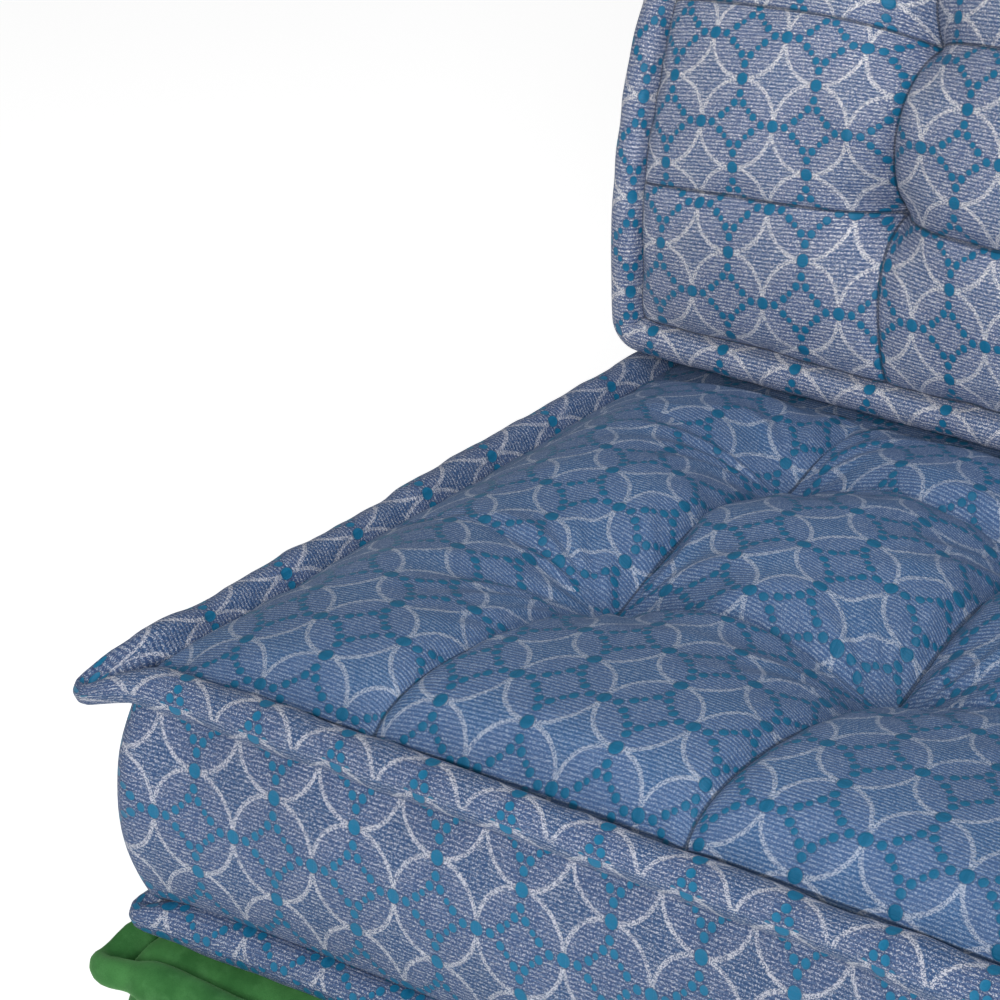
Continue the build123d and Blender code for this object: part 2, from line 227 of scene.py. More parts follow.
def valley(across, along, lines, stops, inner, outer, thin, width):
    """Depth of the valleys along lines of tufts: soft ones, inner deep between tufts and outer deep beyond
    them, each with a thin sewn line in it."""
    off = np.min(np.abs(across[..., None] - np.array(lines)), axis=-1)
    place = np.interp(along, stops, np.arange(len(stops)))
    within = arch(place % 1, 0.5)
    beyond = 1 - np.exp(-np.maximum(np.maximum(stops[0] - along, along - stops[-1]), 0) / 0.03)
    return ((inner * within + outer * beyond) * np.exp(-off / width)
            + thin * np.maximum(within, beyond) * np.exp(-off / 0.0026))


def pleats(x, y, spots, seed, reach, height, folds):
    """Folds that gather towards each tuft, highest at about one reach from it."""
    total = np.zeros_like(x)
    for k, (px, py) in enumerate(spots):
        gap = np.hypot(x - px, y - py)
        angle = np.arctan2(y - py, x - px)
        spot = stacked(np.cos(angle) * 1.3 + k * 7.1, np.sin(angle) * 1.3, gap * 6 + seed)
        angle = angle + 0.9 * wander(spot, 1.0, seed)
        ridge = 1 - np.abs(np.sin(0.5 * folds * angle + k)) ** 0.8
        level = (gap / reach) * np.exp(1 - gap / reach)
        total += height * (ridge - 0.4) * np.clip(level, 0, 1)
    return total


def closeness(across, lines):
    """1 on the seams at lines, 0 from seam_width away."""
    off = np.min(np.abs(across[..., None] - np.array(lines)), axis=-1)
    return np.clip(1 - off / seam_width, 0, 1)


def rim_line(gap):
    """The same as closeness, for the shaded line where a panel comes out from under its rolled edge."""
    return np.clip((0.0090 - gap) / 0.005, 0, 1)


def puff_patterns(columns, rows, seen, usual, seed):
    """How the pattern lies in each face of a grid of puffs: repeat across, shear, start across, shear, repeat
    along, start along. seen gives it for puffs by column and row, and the others vary about the usual."""
    table = np.empty((len(rows), len(columns), 6))
    for r, c in np.ndindex(len(rows), len(columns)):
        drift = lattice(np.array([[c, r, k] for k in range(2)], float), seed) * 0.02
        table[r, c] = seen.get((c, r), (usual[0], 0.0, drift[0], 0.0, usual[1], drift[1]))
    return np.repeat(np.repeat(table, rows, axis=0), columns, axis=1).reshape(-1, 6)


# Mesh helpers
def changed(thing, **values):
    """Set properties of a thing, and give it back."""
    for key, value in values.items():
        setattr(thing, key, value)
    return thing


def linked(name, data, **values):
    """A new object in the scene."""
    made = changed(bpy.data.objects.new(name, data), **values)
    bpy.context.scene.collection.objects.link(made)
    return made


def mesh_object(name, vertices, faces, loops_uv, look):
    """A mesh object with smooth faces, one material and a cloth UV map given per face corner."""
    mesh = bpy.data.meshes.new(name)
    mesh.from_pydata([tuple(v) for v in vertices], [], faces)
    if loops_uv is not None:
        layer = mesh.uv_layers.new(name="cloth")
        layer.data.foreach_set("uv", np.asarray(loops_uv, np.float32).ravel())
    mesh.materials.append(look)
    mesh.polygons.foreach_set("use_smooth", [True] * len(mesh.polygons))
    mesh.update()
    return linked(name, mesh)


def grid_faces(rows, columns, close_rows=False, close_columns=False):
    """Quads of a grid of rows by columns, wound so that row direction x column direction faces out."""
    faces = []
    for i in range(rows if close_rows else rows - 1):
        i2 = (i + 1) % rows
        for j in range(columns if close_columns else columns - 1):
            j2 = (j + 1) % columns
            faces.append((i * columns + j, i * columns + j2, i2 * columns + j2, i2 * columns + j))
    return faces


def baked(piece):
    """Keep what the modifiers make of a piece as its plain mesh."""
    graph = bpy.context.evaluated_depsgraph_get()
    done = bpy.data.meshes.new_from_object(piece.evaluated_get(graph))
    piece.modifiers.clear()
    old = piece.data
    piece.data = done
    bpy.data.meshes.remove(old)
    return piece


def subdivided(piece):
    """Smooth a finished mesh by subdivision and keep the result as its mesh."""
    changed(piece.modifiers.new("smooth", "SUBSURF"), levels=1, render_levels=1,
            boundary_smooth="PRESERVE_CORNERS")
    return baked(piece)


def simulate(points, pinned, gather, extra_slack):
    """Let a pinned grid of cloth settle under the push of its filling, no point further than cloth_cap."""
    vertices = points.reshape(-1, 3)
    mesh = bpy.data.meshes.new("draft")
    mesh.from_pydata([tuple(v) for v in vertices], [], grid_faces(*points.shape[:2]))
    draft = linked("draft", mesh)
    scene = bpy.context.scene
    pins = draft.vertex_groups.new(name="pins")
    pins.add([int(i) for i in np.flatnonzero(pinned)], 1.0, "REPLACE")
    folds = draft.vertex_groups.new(name="folds")
    for level in np.linspace(0.1, 1, 10):
        chosen = np.flatnonzero(np.abs(gather.ravel() - level) <= 0.05)
        folds.add([int(i) for i in chosen], float(level), "REPLACE")
    cloth = draft.modifiers.new("cloth", "CLOTH")
    changed(cloth.settings, quality=6, mass=0.15, tension_stiffness=40, compression_stiffness=40,
            shear_stiffness=10, bending_stiffness=0.25, vertex_group_mass="pins", vertex_group_shrink="folds",
            shrink_min=-cloth_slack, shrink_max=-(cloth_slack + extra_slack), use_pressure=True,
            uniform_pressure_force=cloth_pressure)
    cloth.settings.effector_weights.gravity = 0
    changed(cloth.collision_settings, use_collision=False, use_self_collision=False)
    changed(cloth.point_cache, frame_start=1, frame_end=cloth_frames)
    for moment in range(1, cloth_frames + 1):
        scene.frame_set(moment)
    graph = bpy.context.evaluated_depsgraph_get()
    settled = draft.evaluated_get(graph).to_mesh()
    moved = np.empty(len(settled.vertices) * 3)
    settled.vertices.foreach_get("co", moved)
    bpy.data.objects.remove(draft)
    bpy.data.meshes.remove(mesh)
    scene.frame_set(1)
    shift = moved.reshape(-1, 3) - vertices
    length = np.linalg.norm(shift, axis=1, keepdims=True)
    return (vertices + shift * np.minimum(1, cloth_cap / np.maximum(length, 1e-9))).reshape(points.shape)


def closed_sheet(name, top, cloth, inner, look, seam=None, pattern=None, mirrored=False):
    """A closed piece: a grid of cloth on top, and an inner face under its whole edge. seam is its closeness
    to a seam at each point, and pattern a row of puff_patterns for each face of the grid."""
    if mirrored:
        top, inner, cloth = top[:, ::-1], inner[:, ::-1], cloth[:, ::-1]
    rows, columns = top.shape[:2]
    vertices = np.concatenate([top.reshape(-1, 3), inner.reshape(-1, 3)])
    uv = np.concatenate([cloth.reshape(-1, 2), cloth.reshape(-1, 2)])
    count = rows * columns
    faces = grid_faces(rows, columns)
    index = np.arange(count).reshape(rows, columns)
    rim = np.concatenate([index[0, :-1], index[:-1, -1], index[-1, :0:-1], index[:0:-1, 0]]).tolist()
    for a, b in zip(rim, rim[1:] + rim[:1]):
        faces.append((b, a, a + count, b + count))
    faces += [tuple(v + count for v in reversed(f)) for f in grid_faces(rows, columns)]
    uv = uv[np.array([i for f in faces for i in f])]
    if pattern is not None:
        chosen = slice(0, 4 * len(pattern))
        across, lean, start_u, slant, along, start_v = np.repeat(pattern, 4, axis=0).T
        u, v = uv[chosen, 0] - start_u, uv[chosen, 1] - start_v
        size = across * along - lean * slant
        uv[chosen, 0] = ((along * u - lean * v) / size - 0.5) * repeat_across
        uv[chosen, 1] = (across * v - slant * u) / size * repeat_along
    piece = mesh_object(name, vertices, faces, uv, look)
    # The seam attribute tells the jacquard where to paint shade into seams and under rolled edges.
    if seam is not None:
        layer = piece.data.attributes.new("seam", "FLOAT", "POINT")
        layer.data.foreach_set("value", np.concatenate([seam.ravel(), np.zeros(count)]).astype(np.float32))
    return piece


# Plans and rolls
def rounded(runs, centres, corner, first_turn, step, arc_steps):
    """Points along straight runs, with a quarter turn after each but the last."""
    points = []
    for k, (start, end) in enumerate(runs):
        share = np.linspace(0, 1, max(2, round(math.dist(start, end) / step)), endpoint=False)[:, None]
        points.append(np.array(start) * (1 - share) + np.array(end) * share)
        if k < len(centres):
            turn = first_turn + math.pi / 2 * k + np.linspace(0, math.pi / 2, arc_steps, endpoint=False)
            points.append(np.array(centres[k]) + corner * stacked(np.cos(turn), np.sin(turn)))
    return np.concatenate(points)


def ring_outline(inset, corner, step=0.0045):
    """Points round the plan of a cushion, from the middle of the rear, anticlockwise from above."""
    x, y = half_width - inset, half_depth - inset
    runs = [((0, y), (-x + corner, y)), ((-x, y - corner), (-x, -y + corner)),
            ((-x + corner, -y), (x - corner, -y)), ((x, -y + corner), (x, y - corner)),
            ((x - corner, y), (0, y))]
    centres = [(-x + corner, y - corner), (-x + corner, -y + corner), (x - corner, -y + corner),
               (x - corner, y - corner)]
    points = rounded(runs, centres, corner, math.pi / 2, step, max(3, round(corner * 1.6 / step * 1.6)))
    drawn = points.copy()
    front = points[:, 1] < 0
    drawn[front, 1] += front_hollow * (1 - (points[front, 0] / half_width) ** 2)
    drawn[:, 0] -= side_hollow * (1 - (points[:, 1] / half_depth) ** 2) * points[:, 0] / half_width
    return drawn


def loop_around(width, height, corner, step=0.0045):
    """A closed rounded rectangle in its own plane, from the middle of its lower side, anticlockwise."""
    x, y = width, height
    runs = [((0, 0), (x - corner, 0)), ((x, corner), (x, y - corner)), ((x - corner, y), (-x + corner, y)),
            ((-x, y - corner), (-x, corner)), ((-x + corner, 0), (0, 0))]
    centres = [(x - corner, corner), (x - corner, y - corner), (-x + corner, y - corner),
               (-x + corner, corner)]
    return rounded(runs, centres, corner, -math.pi / 2, step, 9)


def hollowed(x, y, first, outer):
    """A panel's plan with its front and side edges drawn in towards their middles."""
    y = y + front_hollow * (1 - (x / half_width) ** 2) * first
    return x - np.sign(x) * side_hollow * (1 - (y / half_depth) ** 2) * outer, y


def outward(path):
    """Unit normals of a closed plan path that runs anticlockwise, so they point out."""
    ahead = np.roll(path, -1, axis=0) - np.roll(path, 1, axis=0)
    ahead /= np.linalg.norm(ahead, axis=1, keepdims=True)
    return stacked(ahead[:, 1], -ahead[:, 0])


def corner_pull(path, reach, lows=(-half_depth, half_depth)):
    """How close each point of a path is to a corner of its rectangle, 1 at the corner."""
    corners = np.array(crossings((-half_width, half_width), lows))
    gap = np.min(np.linalg.norm(path[:, None] - corners[None], axis=2), axis=1)
    return np.exp(-(gap / reach) ** 2)


def bowed(plan, amount, reach=0.045):
    """Plan points of a cushion moved out from its middle, all but its corners."""
    x, y = plan[:, 0], plan[:, 1]
    out_x = 0.35 * amount + 0.5 * amount * (1 - np.exp(-np.maximum(half_depth - np.abs(y), 0) / reach))
    out_y = amount * (1 + 0.6 * (1 - np.exp(-np.maximum(half_width - np.abs(x), 0) / reach))) * (y < 0)
    share = np.clip((np.abs(plan) / (half_width, half_depth) - 0.88) / 0.09, 0, 1)
    return plan + np.sign(plan) * share * stacked(out_x, out_y)


def roll_object(name, path, vertices, turn, front, height, look):
    """A roll from its rings of points. Its cloth runs along X where front is true, and else along the other
    axis of its path."""
    around = len(turn)
    faces = grid_faces(len(path), around, close_rows=True, close_columns=True)
    uv = []
    for index, face in enumerate(faces):
        i, j = divmod(index, around)
        for v in face:
            a, b = divmod(v, around)
            girth = roll_radius * (turn[b] + (2 * np.pi if j == around - 1 and b == 0 else 0))
            uv.append((path[a, 0], height + girth) if front[i] else (half_width + girth, path[a, 1]))
    return mesh_object(name, vertices.reshape(-1, 3), faces, np.array(uv), look)


def rolled_edge(name, inset, height, look, ear_shape, seed):
    """A stuffed, hand-sewn roll round a flat cushion: lumpy, grooved inside, with eared corners."""
    flare, lift, droop, taper, pinch, out_by, floor = ear_shape
    path = bowed(ring_outline(inset, 0.006, 0.004), out_by)
    normal = outward(path)
    turn = np.linspace(0, 2 * np.pi, steps_around, endpoint=False)
    ear = corner_pull(path, 0.022)
    wide = corner_pull(path, 0.060)
    away = np.sqrt(-np.log(np.maximum(wide, 1e-9))) * 0.060
    ring = np.exp(-((away - 0.024) / 0.006) ** 2)
    spot = stacked(*path.T, height)
    girth = lumps(spot, seed, (0.0015, 0.045), (0.0007, 0.017))
    diagonal = np.sign(path) / math.sqrt(2)
    rise = lift * wide - droop * ear ** 2 + 0.0016 * wander(spot, 0.12, seed + 2)
    vertices = np.empty((len(path), steps_around, 3))
    for k, angle in enumerate(turn):
        local = stacked(*(path + normal * 0.01 * math.cos(angle)).T, 0.01 * math.sin(angle))
        radius = roll_radius - roll_slack + girth + 0.0004 * wander(local, 0.011, seed + 3)
        tuck = math.exp(-((angle - math.radians(150)) / 0.45) ** 2)
        radius = radius * (1 - 0.20 * tuck) * (1 - taper * ear) * (1 - pinch * ring)
        cup = math.exp(-((angle - math.radians(105)) / 0.55) ** 2)
        fold = ear ** 2 * 0.007 * cup
        out = radius * math.cos(angle)
        vertices[:, k, :2] = path + normal * out[:, None] + diagonal * (flare * ear)[:, None]
        vertices[:, k, 2] = np.maximum(height + radius * math.sin(angle) + rise - fold, floor)
    front = np.abs(normal[:, 1]) > np.abs(normal[:, 0])
    return roll_object(name, path, vertices, turn, front, height, look)


def side_wall(name, low, high, look, bulge, seed, out_by):
    """The band between two rolled edges: it swells, tucks in under each roll, and is flat behind the zip."""
    path = ring_outline(0.0, 0.013)
    normal = outward(path)
    near_corner = corner_pull(path, 0.05)
    tucked = 0.006 * corner_pull(path, 0.032)
    along = run_length(np.concatenate([path, path[:1]]))
    middle = along[np.argmin(np.abs(path[:, 0]) + 10 * (path[:, 1] > 0))]
    levels, under_roll, edge_tuck, rear_tuck, thickness = 40, 0.0125, 0.0090, 0.0096, 0.022
    share = np.linspace(0, 1, levels)
    height = low + under_roll + (high - low - 2 * under_roll) * share
    swell = (bulge + edge_tuck) * np.sin(np.pi * share ** 0.85) ** 0.6 - edge_tuck
    rear = np.clip((path[:, 1] - half_depth + 0.030) / 0.020, 0, 1)
    outer = np.empty((len(path), levels, 3))
    for k in range(levels):
        spot = stacked(*path.T, height[k])
        ease = math.sin(math.pi * share[k])
        uneven = lumps(spot, seed, (0.0016, 0.075), (0.0007, 0.028)) * ease
        seam = 0.0006 * wander(spot * [1, 1, 0.3], 0.009, seed + 2) * (1 - ease) ** 2
        folds = 0.0020 * wander(spot * [1, 1, 0.12], 0.021, seed + 4) * share[k] ** 5 * (1 - share[k] ** 30)
        full = swell[k] + 0.004 * near_corner * ease + folds
        out = (full + uneven + seam) * (1 - rear) - rear_tuck * rear
        outer[:, k, :2] = bowed(path, out_by * share[k]) + normal * out[:, None]
        outer[:, k, 2] = height[k] + tucked * (2 * share[k] - 1) ** 9
    inner = outer[:, [-1, 0]].copy()
    inner[:, :, :2] = (path - normal * thickness)[:, None]
    vertices = np.concatenate([outer, inner], axis=1)
    count = levels + 2
    faces = grid_faces(len(path), count, close_rows=True, close_columns=True)
    climb = run_length(stacked(swell, height))
    climb = np.concatenate([climb, [climb[-1] + 0.014, climb[-1] + 0.014]])
    v = climb - climb[levels - 1] / 2 + (low + high) / 2
    uv = []
    for index, face in enumerate(faces):
        for corner in face:
            a, b = divmod(corner, count)
            u = along[-1] if a == 0 and index // count == len(path) - 1 else along[a]
            uv.append((u - middle, v[b]))
    return mesh_object(name, vertices.reshape(-1, 3), faces, np.array(uv), look)


# Material helpers
class Wire:
    """What comes out of a node. Sums with it add Math nodes to its tree."""

    def __init__(self, source, key=0):
        self.tree = source.id_data
        self.socket = source.outputs[key]

    def __add__(self, other):
        return maths("ADD", self, other)

    def __sub__(self, other):
        return maths("SUBTRACT", self, other)

    def __rsub__(self, other):
        return maths("SUBTRACT", other, self)

    def __mul__(self, other):
        return maths("MULTIPLY", self, other)

    def __truediv__(self, other):
        return maths("DIVIDE", self, other)


def feed(socket, source):
    """Set an input to a number, colour, vector or material, or link it to a wire."""
    if isinstance(source, Wire):
        source.tree.links.new(source.socket, socket)
    elif source is not None:
        socket.default_value = source


def node(tree, kind, feeds=(), **values):
    """Add a node, set its properties, and feed its inputs in order or by name."""
    added = changed(tree.nodes.new(kind), **values)
    for key, source in feeds.items() if isinstance(feeds, dict) else enumerate(feeds):
        feed(added.inputs[key], source)
    return added


def maths(operation, *sources, clamp=False):
    """A Math node, as its wire."""
    tree = next(source.tree for source in sources if isinstance(source, Wire))
    return Wire(node(tree, "ShaderNodeMath", sources, operation=operation, use_clamp=clamp))


def soft_step(value, low, high, start=0.0, end=1.0):
    """Smooth change from start to end while value goes from low to high."""
    return Wire(node(value.tree, "ShaderNodeMapRange", (value, low, high, start, end),
                     interpolation_type="SMOOTHSTEP"))


def noise(place, scale, detail=2.0, roughness=0.5):
    """A Noise Texture, as its value."""
    return Wire(node(place.tree, "ShaderNodeTexNoise", {
        "Vector": place, "Scale": scale, "Detail": detail, "Roughness": roughness}), "Fac")


def mixed(share, first, second):
    """A colour mix, as its wire."""
    values = {"Factor": share, 6: first, 7: second}
    return Wire(node(share.tree, "ShaderNodeMix", values, data_type="RGBA"), 2)


def vector(tree, *parts):
    """A vector of up to three sources, as its wire."""
    return Wire(node(tree, "ShaderNodeCombineXYZ", parts))


def tone(colour, share=1.0, lift=0.0):
    """A colour given as 0 to 255 display values, dimmed or lifted, in linear light."""
    values = []
    for value in colour:
        value = min(255, value * share + lift) / 255
        values.append(value / 12.92 if value <= 0.04045 else ((value + 0.055) / 1.055) ** 2.4)
    return (*values, 1.0)


def blank_material(name):
    """An empty material, its tree, and the place of each point in its object."""
    material = bpy.data.materials.new(name)
    material.use_nodes = True
    tree = material.node_tree
    tree.nodes.clear()
    return material, tree, Wire(node(tree, "ShaderNodeTexCoord"), "Object")


def shaded(material, colour, roughness, height, distance, strength=1.0, **levels):
    """Finish a material: its shader with colour, roughness, bump and other levels."""
    tree = material.node_tree
    bump = node(tree, "ShaderNodeBump", {"Strength": strength, "Distance": distance, "Height": height})
    shader = node(tree, "ShaderNodeBsdfPrincipled", {
        "Base Color": colour, "Roughness": roughness, "Normal": Wire(bump)})
    for key, value in levels.items():
        feed(shader.inputs[key.replace("_", " ")], value)
    node(tree, "ShaderNodeOutputMaterial", [Wire(shader)])
    return material


# Materials
# Dots of one repeat: place as shares of the half repeat, and radius in millimetres
dots = (
    (1.0, 0.0, 4.0), (0.0, 1.0, 4.0), (0.68, 0.0, 2.7), (0.0, 0.67, 2.7),
    (0.125, 0.46, 2.6), (0.29, 0.29, 1.9), (0.44, 0.165, 2.6),
)


def jacquard_group():
    """Pattern of the blue cloth: ellipses that touch, chains of dots, weft ribs and metal yarn, and a dark
    ring of painted shade round each dot.
    """
    tree = bpy.data.node_groups.new("jacquard_pattern", "ShaderNodeTree")
    tree.interface.new_socket("Cloth", in_out="INPUT", socket_type="NodeSocketVector")
    for label, value in (("Repeat across", repeat_across * 1000), ("Repeat along", repeat_along * 1000),
                         ("Rib pitch", 2.6)):
        tree.interface.new_socket(label, in_out="INPUT", socket_type="NodeSocketFloat").default_value = value
    given = node(tree, "NodeGroupInput")
    cloth, across, along, pitch = (Wire(given, i) for i in range(4))
    split = node(tree, "ShaderNodeSeparateXYZ", [cloth])
    u, v = Wire(split, 0) * 1000.0, Wire(split, 1) * 1000.0
    half_repeat = 29.5
    fray = noise(vector(tree, u, v), 0.9, 1.0) - 0.5
    half = []
    for value, size in ((u, across), (v, along)):
        turns = value / size
        half.append(maths("ABSOLUTE", turns - maths("FLOOR", turns + 0.5)) * 2.0)
    a, b = half
    reach = maths("SQRT", a * a + b * b)
    gap = maths("ABSOLUTE", reach - 1.0) * half_repeat + fray * 0.9
    line = soft_step(gap, 1.05, 1.65, 1.0, 0.0)
    wide, tall = a * across * 0.5, b * along * 0.5
    half_across, half_along = across * 0.5, along * 0.5
    nearest_dot = None
    for place_a, place_b, radius in dots:
        dx = wide - half_across * place_a
        dy = (tall - half_along * place_b) * 0.9
        away = maths("SQRT", dx * dx + dy * dy) - radius
        nearest_dot = away if nearest_dot is None else maths("MINIMUM", nearest_dot, away)
    nearest_dot = nearest_dot + fray * 0.5
    dot = soft_step(nearest_dot, -0.15, 0.15, 1.0, 0.0)
    wave = noise(vector(tree, u * 0.35, v * 1.2), 0.5, 1.0) - 0.5
    rib = maths("SINE", (v / pitch + wave * 0.32) * (2 * math.pi)) * 0.5 + 0.5
    cell = vector(tree, maths("FLOOR", u / 0.62), maths("FLOOR", v / 0.44))
    glint = Wire(node(tree, "ShaderNodeTexWhiteNoise", {"Vector": cell}, noise_dimensions="3D"), "Value")
    bare = 1.0 - dot
    raised = soft_step(nearest_dot, -1.2, 0.3, 1.0, 0.0) * 0.55 + line * 0.15
    given_out = {
        "Line": line, "Dot": dot,
        "Dot_shade": maths("SUBTRACT", soft_step(nearest_dot, 0.3, 0.9, 1.0, 0.0), dot, clamp=True),
        "Rib": rib, "Glint": glint, "Height": raised + rib * bare * 0.35 + glint * bare * 0.18,
        "Inside": soft_step(reach, 0.97, 1.03, 1.0, 0.0),
    }
    for label in given_out:
        tree.interface.new_socket(label, in_out="OUTPUT", socket_type="NodeSocketFloat")
    node(tree, "NodeGroupOutput", given_out)
    return tree


def jacquard(name, shift, painted_glint_level, ground=(42, 74, 118), bloom=(98, 124, 160), silver=(206, 208, 218),
             teal=(8, 104, 144)):
    """Blue jacquard: shift moves the pattern on the cloth, and the colours are those of its yarns, with
    painted light: each copy sets its own painted glint level and lighter or duller yarn colours.
    """
    material, tree, place = blank_material(name)
    cloth = Wire(node(tree, "ShaderNodeUVMap", uv_map="cloth"))
    mapping = node(tree, "ShaderNodeMapping", {"Vector": cloth, "Location": (-shift[0], -shift[1], 0)})
    pattern = node(tree, "ShaderNodeGroup", node_tree=weave)
    feed(pattern.inputs["Cloth"], Wire(mapping))
    line, dot, rim, rib, glint, height, inside = (Wire(pattern, i) for i in range(7))
    fleck = soft_step(glint, 0.1, 0.9, 0.25, 1.0)
    base = mixed(soft_step(rib, 0.15, 0.85) * fleck, tone(ground), tone(bloom))
    base = mixed(inside * 0.08, base, tone((132, 126, 160)))
    # Silver specks on the ribs: partly the silver yarn and partly a painted glint, whose level each copy sets
    # by how it catches the light.
    silver_yarn_and_glint = soft_step(glint, 0.72, 0.8) * soft_step(rib, 0.0, 1.0, 0.3, 1.0) * painted_glint_level
    base = mixed(silver_yarn_and_glint, base, tone(silver))
    thread = line * soft_step(glint, 0.25, 0.7, 0.1, 1.0)
    base = mixed(thread, base, tone(silver))
    # Dark ring round each dot: painted shade round the raised dots.
    base = mixed(rim * 0.45, base, tone(ground, 0.7))
    base = mixed(dot, base, mixed(glint * 0.35, tone(teal), tone(teal, 1.0, 26)))
    # The seam attribute darkens the seams and the line under each rolled edge: painted shade in these
    # grooves. The same mask also sinks them in the bump.
    seam = Wire(node(tree, "ShaderNodeAttribute", attribute_name="seam"), "Fac")
    shaded_seam = soft_step(seam, 0.78, 0.92)
    base = mixed(shaded_seam * 0.6, base, tone(ground, 0.3))
    wear = soft_step(noise(place, 9.0, 3.0), 0.3, 0.7, 0.94, 1.06)
    worn = node(tree, "ShaderNodeHueSaturation", {"Color": base, "Value": wear})
    metal = maths("MAXIMUM", silver_yarn_and_glint, thread) * 0.35
    roughness = soft_step(maths("MAXIMUM", dot, metal), 0.0, 1.0, 0.72, 0.5)
    return shaded(material, Wire(worn), roughness, height - shaded_seam * 1.2, 0.0009, 0.75, Metallic=metal,
                  Sheen_Weight=0.03, Sheen_Roughness=0.5, Specular_IOR_Level=0.35)


def velvet(name, colour, deep):
    """Cotton velvet: pile that lies in patches, darker where it faces away."""
    material, tree, place = blank_material(name)
    crush = noise(place, 90.0, 3.0, 0.55)
    hairs = noise(place, 1600.0, 1.0)
    base = mixed(soft_step(noise(place, 28.0, 4.0, 0.6), 0.3, 0.72), tone(deep), tone(colour))
    base = mixed(soft_step(crush, 0.45, 0.75) * 0.3, base, tone(colour, 1.0, 22))
    base = mixed(soft_step(hairs, 0.35, 0.8) * 0.25, base, tone(deep, 0.72))
    return shaded(material, base, soft_step(crush, 0.2, 0.8, 0.86, 0.74), hairs + crush, 0.0006, 0.35,
                  Sheen_Weight=0.45, Sheen_Roughness=0.35, Sheen_Tint=tone((150, 200, 140)),
                  Specular_IOR_Level=0.2)


def diagonal_bands(place, scale, distortion):
    """Fine slanting bands, for twisted twine and herringbone tape."""
    values = {"Vector": place, "Scale": scale, "Distortion": distortion}
    return Wire(node(place.tree, "ShaderNodeTexWave", values, wave_type="BANDS",
                     bands_direction="DIAGONAL"), "Fac")


def twine(name, colour):
    """Waxed twine, twisted."""
    material, tree, place = blank_material(name)
    strands = diagonal_bands(place, 420.0, 1.0)
    return shaded(material, mixed(strands, tone(colour, 0.55), tone(colour)), 0.6, strands, 0.0004)


def foam(name):
    """Open-cell upholstery foam, a little yellowed."""
    material, tree, place = blank_material(name)
    cells = node(tree, "ShaderNodeTexVoronoi", {"Vector": place, "Scale": 700.0})
    pores = soft_step(Wire(cells, "Distance"), 0.1, 0.5)
    age = soft_step(noise(place, 6.0, 3.0), 0.3, 0.7)
    base = mixed(age, tone((236, 232, 214)), tone((226, 216, 184)))
    # Darker spots at the pores: painted shade in the pore hollows.
    base = mixed((1.0 - pores) * 0.5, base, tone((180, 170, 140)))
    return shaded(material, base, 0.95, pores, 0.0008)


def plywood(name):
    """Raw plywood with a straight grain."""
    material, tree, place = blank_material(name)
    stretch = node(tree, "ShaderNodeMapping", {"Scale": (2.0, 40.0, 40.0), "Vector": place})
    grain = noise(Wire(stretch), 3.0, 6.0, 0.6)
    base = mixed(soft_step(grain, 0.3, 0.7), tone((214, 182, 134)), tone((182, 142, 92)))
    return shaded(material, base, 0.7, grain, 0.0004)


def tape(name, colour):
    """Woven zip tape: a fine herringbone."""
    material, tree, place = blank_material(name)
    bands = diagonal_bands(place, 500.0, 0.6)
    wear = soft_step(noise(place, 60.0, 3.0), 0.5, 0.8) * 0.25
    base = mixed(wear, mixed(bands, tone(colour, 0.6), tone(colour)), tone(colour, 1.0, 40))
    return shaded(material, base, 0.8, bands, 0.0003)


def nickel(name):
    """Nickel-plated zinc with fine scratches."""
    material, tree, place = blank_material(name)
    scratches = noise(place, 900.0, 4.0, 0.7)
    base = mixed(soft_step(scratches, 0.35, 0.75), tone((176, 178, 182)), tone((206, 206, 204)))
    roughness = soft_step(scratches, 0.3, 0.8, 0.24, 0.42)
    return shaded(material, base, roughness, scratches, 0.0002, 0.2, Metallic=1.0)


def white_floor(name):
    """Studio floor: white to the camera and to shiny things, with the soft shadow of the sofa left in it."""
    material, tree, _ = blank_material(name)
    path = node(tree, "ShaderNodeLightPath")
    clear = maths("MAXIMUM", Wire(path, "Is Glossy Ray"), Wire(path, "Is Transmission Ray"))
    seen = maths("MAXIMUM", Wire(path, "Is Camera Ray"), clear)
    paint = node(tree, "ShaderNodeBsdfDiffuse", {"Color": (0.86, 0.86, 0.86, 1)})
    glow = node(tree, "ShaderNodeEmission", {"Strength": seen * 0.6})
    both = node(tree, "ShaderNodeAddShader", (Wire(paint), Wire(glow)))
    node(tree, "ShaderNodeOutputMaterial", [Wire(both)])
    return material


weave = jacquard_group()
# Three copies of one jacquard, each with its own painted light: the seat copy has fewer, duller silver
# glints, the band copy more, and the back copy the most, with a lighter ground as a painted highlight from
# the top lamp.
blue_seat_dim_glints = jacquard("blue_seat_dim_glints_cloth", (0.0, 0.0), 0.55, (50, 88, 134), (106, 138, 176), (180, 190, 208),
                     (8, 94, 132))
blue_band_mid_glints = jacquard("blue_band_mid_glints_cloth", band_phase, 0.8)
blue_back_lit = jacquard("blue_back_lit_cloth", (0.0, 0.0), 1.0, (66, 92, 134), (156, 168, 194), (236, 234, 236))
green = velvet("green_velvet_cloth", (74, 136, 74), (48, 104, 52))

finishes = {
    "foam": foam("cut_foam"),
    "plywood": plywood("raw_plywood"),
    "tie_cord_blue": twine("blue_twine", (76, 97, 148)),
    "tie_cord_green": twine("green_twine", (51, 107, 51)),
    "zip_tape_blue": tape("blue_zip_tape", (64, 82, 133)),
    "zip_tape_green": tape("green_zip_tape", (43, 97, 46)),
    "zip_metal": nickel("plated_zinc"),
    "thread_blue": twine("blue_thread", (84, 104, 156)),
    "thread_green": twine("green_thread", (60, 120, 60)),
}


def dress(piece, body, node_name):
    """Attach a piece to the body that it rides on, and hide the part that it stands for."""
    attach(piece, body)
    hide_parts(node_name)


